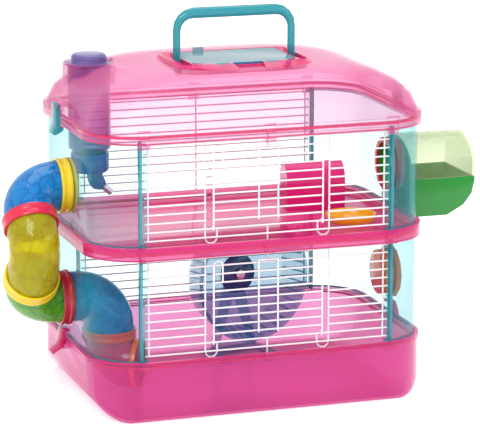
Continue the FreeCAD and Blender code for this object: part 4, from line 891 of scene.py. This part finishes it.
@dataclass
class TubeRun:
    """Outside tube run between the two left ports, and the run inside the lower one.

    Attributes:
        radius: outside radius of the tube.
        bend: radius of an elbow's middle line.
        leg: distance from an elbow's corner to its seam.
        face: outside of the left wall, with panel the wall's thickness.
        stub: how much longer the end that meets a wall is.
        upper: height of the upper port, with lower that of the other.
        exit_turn: degrees that the exit elbow is turned.
        exit_corner: height of its corner above the tray's foot.
        seam_gap: clearance above the exit elbow.
    """

    radius: float = 29.0
    wall: float = 2.0
    bend: float = 38.6
    leg: float = 46.67
    face: float = -198.0
    panel: float = 2.0
    stub: float = 5.0
    upper: float = 249.5
    lower: float = 117.5
    ring_bore: float = 29.3
    ring_radius: float = 32.0
    ring_waist: float = 31.0
    joint_ring: float = 14.0
    wall_ring: float = 13.0
    seam_ring: float = 11.26
    sleeve_bore: float = 25.3
    sleeve_radius: float = 26.8
    sleeve_out: float = 7.0
    sleeve_flange: float = 3.0
    coupler_in: float = 9.0
    exit_turn: float = -32.0
    exit_bend: float = 31.0
    exit_corner: float = 34.23
    exit_stub: float = 5.3
    seam_gap: float = 0.3
    lip_radius: float = 30.6
    lip_back: float = 4.0
    lip_front: float = 1.3
    lip_gap: float = 0.05

    def build(self) -> None:
        """Makes the elbows and their rings from the top down."""
        forward = Vector((0, -1, -1)).normalized()
        backward = Vector((0, 1, -1)).normalized()
        first = Vector((self.face - self.stub - self.leg, 0, self.upper))
        second = first + forward * (2 * self.leg)
        third = second + backward * (2 * self.leg)
        plain = self.leg - self.bend
        plugged = plain + self.stub
        top = self.elbow("elbow_blue_top", first, -AXIS_X, forward, plugged, plain)
        fit(top, TUBE_BLUE, "cage", "tube_blue", "elbow_blue_outer")
        middle = self.elbow("elbow_yellow_middle", second, forward, backward, plain, plain)
        fit(middle, TUBE_YELLOW, "cage", "tube_yellow", "elbow_clear_yellow")
        low = self.elbow("elbow_green_low", third, backward, AXIS_X, plain, plugged)
        fit(low, TUBE_GREEN, "cage", "tube_green", "elbow_green")
        at_wall = self.face - self.wall_ring / 2
        for name, place, axis, length, finish, slot in (
                ("ring_red", first + forward * self.leg, forward, self.joint_ring, CRIMSON, "ring_red_solid"),
                ("ring_yellow", second + backward * self.leg, backward, self.joint_ring, YELLOW,
                 "ring_yellow_solid"),
                ("wall_ring_upper_left", Vector((at_wall, 0, self.upper)), -AXIS_X, self.wall_ring, YELLOW,
                 "ring_yellow_solid"),
                ("wall_ring_lower_left", Vector((at_wall, 0, self.lower)), -AXIS_X, self.wall_ring, RED,
                 "ring_red_solid")):
            fit(self.ring(name + "_turned", place, axis, length), finish, "cage", slot, name)
        self.sleeves()
        self.inside()

    def sleeves(self) -> None:
        """The flanged sleeve of the upper port and the plain coupler of the lower one."""
        bore, out, end = self.sleeve_bore, self.sleeve_radius, self.sleeve_out
        seat = -self.panel
        flange = seat - self.sleeve_flange
        flanged = [(bore, flange), (self.ring_radius, flange), (self.ring_radius, seat), (out, seat),
                   (out, end), (bore, end)]
        sleeve = Bench.revolve("sleeve_upper_turned", flanged, (self.face, 0, self.upper), -AXIS_X)
        fit(sleeve, YELLOW, "cage", "ring_yellow_solid", "port_sleeve_upper_left")
        plain = [(bore, -self.coupler_in), (out, -self.coupler_in), (out, end), (bore, end)]
        coupler = Bench.revolve("coupler_turned", plain, (self.face, 0, self.lower), -AXIS_X)
        fit(coupler, COUPLER, "cage", "coupler_green_solid", "coupler_green")

    def inside(self) -> None:
        """The blue elbow inside the lower port and the swivelling exit elbow below it."""
        plain = self.leg - self.bend
        corner = Vector((self.face + self.panel + self.leg, 0, self.lower))
        bent = self.elbow("elbow_blue_inside", corner, AXIS_X, -AXIS_Z, plain, plain)
        fit(bent, TUBE_BLUE, "cage", "tube_blue", "elbow_blue_inner")
        seam = corner - AXIS_Z * self.leg
        fit(self.ring("ring_seam_turned", seam, -AXIS_Z, self.seam_ring), RED_ORANGE, "cage",
            "ring_red_solid", "ring_inner_red")
        turn = math.radians(self.exit_turn)
        leaving = Vector((math.cos(turn), math.sin(turn), 0))
        below = Vector((corner.x, 0, self.exit_corner))
        before = seam.z - self.seam_gap - self.exit_corner - self.exit_bend
        way_out = self.elbow("elbow_exit_turned", below, -AXIS_Z, leaving, before, self.exit_stub,
                             self.exit_bend)
        fit(way_out, TUBE_MAGENTA, "exit_tube", "tube_magenta", "elbow_exit_magenta")
        bore, inner = self.ring_bore, self.radius - self.wall
        lip = [(bore, -self.lip_back), (self.lip_radius, -self.lip_back), (self.lip_radius, self.lip_front),
               (inner, self.lip_front), (inner, self.lip_gap), (bore, self.lip_gap)]
        mouth = below + leaving * (self.exit_bend + self.exit_stub)
        fit(Bench.revolve("ring_exit_turned", lip, mouth, leaving, 0.3), ORANGE, "exit_tube",
            "ring_orange_solid", "ring_exit_orange")

    def elbow(self, name: str, corner: Vector, heading: Vector, leaving: Vector, before: float,
              after: float, bend: float | None = None) -> Piece:
        """A quarter bend of tube with a straight stub at each end.

        Args:
            name: the piece's name.
            corner: where the two straight lines of the tube would meet.
            heading: direction in which the tube arrives.
            leaving: direction in which it goes on.
            before: straight length before the bend.
            after: straight length after it.
            bend: radius of the bend, the run's own where it is left out.

        Returns:
            The piece.
        """
        radius = bend or self.bend
        centre = corner - heading * radius + leaving * radius
        piece = Bench.bar(corner - heading * (radius + before), heading, self.radius, 40, capped=False)
        Bench.run(heading * before)
        Bench.turn(centre, heading.cross(leaving).normalized(), 90, 16)
        Bench.run(leaving * after)
        Bench.tidy()
        bpy.ops.object.mode_set(mode="OBJECT")
        skin = piece.modifiers.new("wall", "SOLIDIFY")
        skin.thickness = self.wall * 0.001
        skin.offset = -1.0
        skin.use_even_offset = True
        bpy.ops.object.modifier_apply(modifier=skin.name)
        Bench.soften(piece, 0.4, 60.0)
        return Bench.done(piece, name, 40.0)

    def ring(self, name: str, middle: Vector, axis: Vector, length: float) -> Piece:
        """A joint ring with a bead at each edge and a waist between them.

        Args:
            name: the piece's name.
            middle: its middle.
            axis: unit vector along the tube.
            length: its length.

        Returns:
            The piece.
        """
        bore, out, waist = self.ring_bore, self.ring_radius, self.ring_waist
        half = length / 2
        edge = half - length * 0.28
        foot = edge - 0.8
        outline = [(bore, -half), (out, -half), (out, -edge), (waist, -foot), (waist, foot), (out, edge),
                   (out, half), (bore, half)]
        return Bench.revolve(name, outline, middle, axis, 0.6)


@dataclass
class WaterBottle:
    """Water bottle hung in the roof's collar, with its cap and steel spout.

    Attributes:
        x: distance of the bottle's axis from the cage's middle, with y the other way.
        bottom: height of its shoulders, where the neck starts.
        seat: height of the brim that it hangs by.
        slope: height of the shoulders.
        spout_offset: distance of the spout from the bottle's axis.
        spout_drop: straight length of the spout below the cap.
        lean: degrees that the spout bends.
    """

    x: float = -153.5
    y: float = 60.0
    radius: float = 25.0
    wall: float = 1.8
    bottom: float = 274.0
    slope: float = 6.0
    neck: float = 18.5
    neck_end: float = 262.0
    seat: float = 378.3
    brim: float = 28.0
    step: float = 3.0
    crown: float = 21.0
    top: float = 391.0
    cap_radius: float = 22.4
    cap_bottom: float = 251.0
    cap_wall: float = 2.0
    cap_gap: float = 0.3
    ribs: int = 30
    spout_offset: float = 6.0
    spout_drop: float = 5.0
    spout_bend: float = 12.0
    spout_radius: float = 4.0
    spout_wall: float = 0.9
    spout_reach: float = 20.0
    funnel_radius: float = 9.5
    funnel_reach: float = 7.0
    lean: float = 50.0

    def build(self) -> None:
        """Turns the bottle and its cap, and bends the spout."""
        origin = (self.x, self.y, 0)
        r, neck, crown, wall, step = self.radius, self.neck, self.crown, self.wall, self.step
        bottom, seat, top, end = self.bottom, self.seat, self.top, self.neck_end
        outline = [(0, top), (crown - step, top), (crown, top - step), (crown, seat + step),
                   (self.brim, seat + step), (self.brim, seat), (r, seat), (r, bottom + self.slope),
                   (neck, bottom), (neck, end), (neck - wall, end), (neck - wall, bottom + 1),
                   (r - wall, bottom + self.slope + 1), (r - wall, seat), (crown - wall, seat + step),
                   (crown - wall, top - wall), (0, top - wall)]
        fit(Bench.revolve("bottle_turned", outline, origin, AXIS_Z, 0.8), BOTTLE, "bottle", "bottle_clear",
            "bottle_body")
        self.cap(origin)
        self.spout()
        ball = bpy.data.objects["spout_ball"]
        ball.data.materials.clear()
        ball.data.materials.append(STEEL.material())

    def pivot(self) -> Vector:
        """Centre of the spout's bend."""
        x = self.x + self.spout_offset + self.spout_bend
        return Vector((x, self.y, self.cap_bottom - self.spout_drop))

    def mouth(self, reach: float) -> tuple[Vector, Vector]:
        """A place on the spout's line past its bend, and the direction of that line.

        Args:
            reach: distance past the bend.

        Returns:
            The place and the unit vector.
        """
        turn = math.radians(self.lean)
        heading = Vector((math.sin(turn), 0, -math.cos(turn)))
        spoke = Vector((math.cos(turn), 0, math.sin(turn)))
        return self.pivot() - spoke * self.spout_bend + heading * reach, heading

    def leaning_bar(self, top: float, radius: float, sides: int, reach: float) -> None:
        """A bar down from the cap that leans over the deck, left in edit mode.

        Args:
            top: height of its upper end above the cap's foot.
            radius: its radius.
            sides: corners of its section.
            reach: straight length past its bend.
        """
        start = Vector((self.x + self.spout_offset, self.y, self.cap_bottom + top))
        Bench.bar(start, -AXIS_Z, radius, sides)
        Bench.run(Vector((0, 0, -self.spout_drop - top)))
        Bench.turn(self.pivot(), AXIS_Y, -self.lean, 6)
        Bench.run(self.mouth(reach)[1] * reach)

    def cap(self, origin: Point) -> None:
        """Screw cap with a ribbed grip and a funnel that holds the spout.

        Args:
            origin: foot of the bottle's axis.
        """
        low, r, wall, head = self.cap_bottom, self.cap_radius, self.cap_wall, self.bottom
        thread, thread_foot = self.neck + self.cap_gap, self.neck_end - self.cap_gap
        well = self.neck - self.wall - wall
        outline = [(0, low), (r - self.step, low), (r, low + self.step), (r, head), (thread, head),
                   (thread, thread_foot), (well, thread_foot), (well, low + wall), (0, low + wall)]
        body = Bench.revolve("cap", outline, origin, AXIS_Z, 0.7)
        rib = Bench.block("rib", (self.x + r - 0.5, self.y - 0.6, low + 5),
                          (self.x + r + 0.15, self.y + 0.6, head - 2), 0.15)
        grip = Bench.spread(rib, self.ribs, origin, "Z")
        self.leaning_bar(1.0, self.funnel_radius, 28, self.funnel_reach)
        taper = metres(self.mouth(self.funnel_reach)[0])
        bpy.ops.transform.resize(value=(0.6, 0.6, 0.6), center_override=taper)
        funnel = Bench.leave("funnel")
        fit(Bench.join("cap_turned", [body, funnel] + grip), CAP_BLUE, "bottle", "cap_blue", "bottle_cap")

    def spout(self) -> None:
        """Steel spout with an open mouth for its ball."""
        heading = self.mouth(0.0)[1]
        self.leaning_bar(3.5, self.spout_radius, 20, self.spout_reach)
        bpy.ops.mesh.inset(thickness=self.spout_wall * 0.001)
        bpy.ops.mesh.extrude_region_move(TRANSFORM_OT_translate={"value": metres(heading * -5.4)})
        fit(Bench.leave("spout_bent"), STEEL, "bottle", "steel", "bottle_spout")


@dataclass
class RunningWheel:
    """Treaded running wheel with its hub, on an axle in a stand.

    Attributes:
        centre: middle of the wheel's open side.
        turned: degrees that its axle is turned from the front.
        front: outside radius at the open side, with back that at the closed side.
        lip: how far the rim stands out, with lip_depth its width.
        hole: radius of the hole that the hub fills.
    """

    centre: Point = (51.0, 60.0, 103.5)
    turned: float = 13.4
    front: float = 75.0
    back: float = 68.0
    depth: float = 43.0
    wall: float = 2.0
    lip: float = 1.5
    lip_depth: float = 3.0
    hole: float = 20.0
    treads: int = 36
    hub_bore: float = 3.2
    hub_nose: float = 10.0
    hub_flange: float = 24.0
    hub_spigot: float = 19.7

    def build(self) -> None:
        """Makes the drum, its treads and the hub, and finishes the axle and the stand."""
        w, depth, brim, web = self.wall, self.depth, self.front + self.lip, self.depth - self.wall
        drum = [(self.front - w, 0), (brim, 0), (brim, self.lip_depth), (self.front, self.lip_depth),
                (self.back, depth), (self.hole, depth), (self.hole, web), (self.back - w, web)]
        rim = Bench.revolve("drum", drum, (0, 0, 0), AXIS_Y, 0.4, 72)
        lean = math.atan2(self.front - self.back, depth)
        tread = Bench.block("tread", (-0.9, 1.8, -0.5), (0.9, depth - 1.5, 1.2), 0.25)
        tread.data.transform(Matrix.Translation(metres((0, 0, -self.front + w)))
                             @ Matrix.Rotation(lean, 4, "X"))
        treads = Bench.spread(tread, self.treads, (0, 0, 0), "Y")
        self.settle(Bench.join("wheel_drum", [rim] + treads), WHEEL_BLUE, "wheel_blue", "running_wheel")
        bore, nose, end = self.hub_bore, web - 6, depth + w
        hub = [(bore, nose), (self.hub_nose, nose), (self.hub_flange, web - 3), (self.hub_flange, web),
               (self.hub_spigot, web), (self.hub_spigot, end), (bore, end)]
        boss = Bench.revolve("hub_turned", hub, (0, 0, 0), AXIS_Y, 0.8)
        self.settle(boss, HUB_BLUE, "hub_blue", "wheel_hub")
        fit_softened("wheel_axle", STEEL, "cage", "steel", 0.3)
        fit_softened("wheel_stand", STAND_BLUE, "cage", "wheel_blue", 0.5)

    def settle(self, piece: Piece, finish: Finish, slot: str, node: str) -> None:
        """Moves a piece of the wheel to its place in the cage and fits it.

        Args:
            piece: the piece, made about the origin.
            finish: its finish.
            slot: the record's material slot.
            node: frame node that it replaces.
        """
        turned = Matrix.Rotation(math.radians(self.turned), 4, "Z")
        piece.data.transform(Matrix.Translation(metres(self.centre)) @ turned)
        fit(piece, finish, "wheel", slot, node)


@dataclass
class Furniture:
    """Hide house and food dish on the upper deck.

    Attributes:
        deck: height of the upper deck's floor.
        house: place of the house's middle on it.
        house_turn: degrees that the house is turned.
        door_half: half width of its doorway, with door_top its height.
        dish: place of the dish's middle.
    """

    deck: float = 192.0
    house: tuple[float, float] = (120.0, 48.8)
    house_turn: float = -8.0
    length: float = 71.0
    width: float = 45.0
    height: float = 56.0
    wall: float = 2.0
    door_half: float = 14.0
    door_top: float = 38.0
    dish: tuple[float, float] = (138.0, -34.0)
    dish_radius: float = 30.5

    def build(self) -> None:
        """Makes the house and the dish."""
        fit(self.hide(), HOUSE, "house", "house_magenta", "hide_house")
        r = self.dish_radius
        outline = [(0, 0), (r - 3, 0), (r - 0.4, 5.5), (r, 7.4), (r - 0.6, 8.4), (r - 2.4, 8.4),
                   (r - 4, 6.0), (r - 6, 2.2), (0, 2.0)]
        fit(Bench.revolve("dish_turned", outline, (*self.dish, self.deck), AXIS_Z, 0.5), DISH, "dish",
            "dish_yellow", "food_dish")

    @staticmethod
    def vault(half_x: float, half_y: float, top: float, shift: float = 0.0, foot: float = -3.0) -> Piece:
        """A block with a round top, along X.

        Args:
            half_x: half of its length.
            half_y: half of its width.
            top: its height.
            shift: how far it is moved along X.
            foot: height of its underside.

        Returns:
            The block.
        """
        def along_top(a: Vector, b: Vector) -> bool:
            """Whether an edge runs along X above the floor."""
            return abs(a.x - b.x) > 1e-6 and min(a.z, b.z) > 0.001

        piece = Bench.block("vault", (shift - half_x, -half_y, foot), (shift + half_x, half_y, top), 0)
        Bench.round_edges(piece, along_top, half_y - 0.05, 10)
        return piece

    def hide(self) -> Piece:
        """Barrel-roofed hide with an arched doorway in its right end.

        Returns:
            The piece.
        """
        half, side, w = self.length / 2, self.width / 2, self.wall
        piece = self.vault(half, side, self.height, foot=-1.0)
        Bench.cut(piece, self.vault(half - w, side - w, self.height - w))
        Bench.cut(piece, self.vault(2 * w, self.door_half, self.door_top, half))
        Bench.cut(piece, Bench.block("floor", (-half - 5, -side - 5, -5), (half + 5, side + 5, 0), 0))
        Bench.soften(piece, 0.7, 50.0)
        turned = Matrix.Rotation(math.radians(self.house_turn), 4, "Z")
        piece.data.transform(Matrix.Translation(metres((*self.house, self.deck))) @ turned)
        return Bench.done(piece, "house_arched", 40.0)


@dataclass
class Ports:
    """What uses the two right ports: collar, nest box with its hood, and plug."""

    soft: float = 0.5

    def build(self) -> None:
        """Finishes the pieces at the right end."""
        fit_softened("port_ring_red", RED, "cage", "ring_red_solid", self.soft)
        fit_softened("nest_box", NEST_GREEN, "cage", "nest_green", self.soft)
        fit_softened("nest_box_lid", NEST_CLEAR, "nest_cover", "nest_cover_clear", self.soft)
        fit_softened("blanking_cap", ORANGE, "port_plug", "ring_orange_solid", self.soft)


@dataclass(frozen=True)
class Lamp:
    """A square soft lamp that looks at the cage.

    Attributes:
        name: its name.
        place: where it hangs, in metres.
        size: its side in metres.
        power: its power in watts.
    """

    name: str
    place: Point
    size: float
    power: float
    aim: Point = (0.0, 0.0, 0.2)

    def build(self) -> None:
        """Hangs the lamp."""
        light = bpy.data.lights.new(self.name, "AREA")
        light.energy = self.power
        light.size = self.size
        lamp = bpy.data.objects.new(self.name, light)
        lamp.location = self.place
        lamp.rotation_euler = (Vector(self.aim) - Vector(self.place)).to_track_quat("-Z", "Y").to_euler()
        bpy.context.scene.collection.objects.link(lamp)


@dataclass
class Studio:
    """Floor, lamps, backdrop and camera.

    Attributes:
        azimuth: degrees that the camera stands round from the front.
        elevation: degrees that it stands up.
        distance: its distance from the target in millimetres.
        focal_pixels: its focal length in pixels of a picture image_width wide.
        fill_level: strength of the soft light from all round.
        floor_glow: how much the floor shines for the eye.
    """

    azimuth: float = -18.392
    elevation: float = 12.662
    distance: float = 3216.6
    focal_pixels: float = 2740.87
    shift: tuple[float, float] = (0.0201, 0.0016)
    target: Point = (0.0, 0.0, 200.0)
    image_width: float = 480.0
    sensor_width: float = 36.0
    fill_level: float = 0.62
    floor_glow: float = 0.55
    lamps: tuple[Lamp, ...] = (Lamp("key", (-1.2, -1.6, 2.2), 1.4, 40.0),
                               Lamp("fill", (1.9, -1.2, 1.3), 1.2, 12.0),
                               Lamp("top", (0.2, 0.6, 2.4), 1.6, 16.0))

    def build(self) -> None:
        """Makes everything round the cage."""
        self.floor()
        self.world()
        for lamp in self.lamps:
            lamp.build()
        self.camera()

    @staticmethod
    def seen(tree: Tree) -> Socket:
        """1 for rays from the camera, in reflections and through glass, 0 for soft light.

        Args:
            tree: node tree to add it to.

        Returns:
            The socket.
        """
        path = tree.nodes.new("ShaderNodeLightPath")
        near = math_node(tree, "MAXIMUM", path.outputs["Is Camera Ray"], path.outputs["Is Glossy Ray"])
        return math_node(tree, "MAXIMUM", near, path.outputs["Is Transmission Ray"])

    def floor(self) -> None:
        """A large pale floor that keeps the cage's shadow."""
        bpy.ops.object.select_all(action="DESELECT")
        bpy.ops.mesh.primitive_plane_add(size=40.0, location=(0, 0, -0.0005))
        floor = bpy.context.object
        floor.name = "floor"
        coat = bpy.data.materials.new("floor_paint")
        coat.use_nodes = True
        tree = coat.node_tree
        shader = tree.nodes["Principled BSDF"]
        shader.inputs["Base Color"].default_value = (0.95, 0.95, 0.95, 1.0)
        shader.inputs["Roughness"].default_value = 0.9
        shader.inputs["Specular IOR Level"].default_value = 0.1
        shader.inputs["Emission Color"].default_value = (1.0, 1.0, 1.0, 1.0)
        glow = math_node(tree, "MULTIPLY", self.seen(tree), self.floor_glow)
        tree.links.new(glow, shader.inputs["Emission Strength"])
        floor.data.materials.append(coat)

    def world(self) -> None:
        """White to the eye and in reflections, and a plain soft level as light."""
        world = bpy.data.worlds.new("studio")
        bpy.context.scene.world = world
        world.use_nodes = True
        tree = world.node_tree
        back = tree.nodes["Background"]
        back.inputs["Color"].default_value = (1.0, 1.0, 1.0, 1.0)
        tree.links.new(ramp(tree, self.seen(tree), self.fill_level, 1.0), back.inputs["Strength"])

    def camera(self) -> None:
        """Camera at the photograph's viewing angle, for an image of 480 by 429 pixels."""
        data = bpy.data.cameras.new("view")
        data.sensor_width = self.sensor_width
        data.lens = self.focal_pixels * self.sensor_width / self.image_width
        data.shift_x, data.shift_y = self.shift
        data.clip_end = 60.0
        camera = bpy.data.objects.new("view", data)
        bpy.context.scene.collection.objects.link(camera)
        a, e = math.radians(self.azimuth), math.radians(self.elevation)
        back = Vector((math.sin(a) * math.cos(e), -math.cos(a) * math.cos(e), math.sin(e)))
        camera.location = metres(Vector(self.target) + back * self.distance)
        camera.rotation_euler = (-back).to_track_quat("-Z", "Y").to_euler()
        bpy.context.scene.camera = camera


def main() -> None:
    """Builds the cage on its frame, piece by piece."""
    logging.basicConfig(level=logging.INFO, format="%(name)s: %(message)s")
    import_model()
    scene = bpy.context.scene
    scene.view_settings.view_transform = "Standard"
    scene.cycles.transparent_max_bounces = 40
    for part in (Studio(), Shell(), WireFront("lower", 70.0), WireFront("upper", 202.0), Roof(), TubeRun(),
                 WaterBottle(), RunningWheel(), Furniture(), Ports()):
        part.build()
        log.info("%s is built", type(part).__name__)


if __name__ == "__main__":
    main()
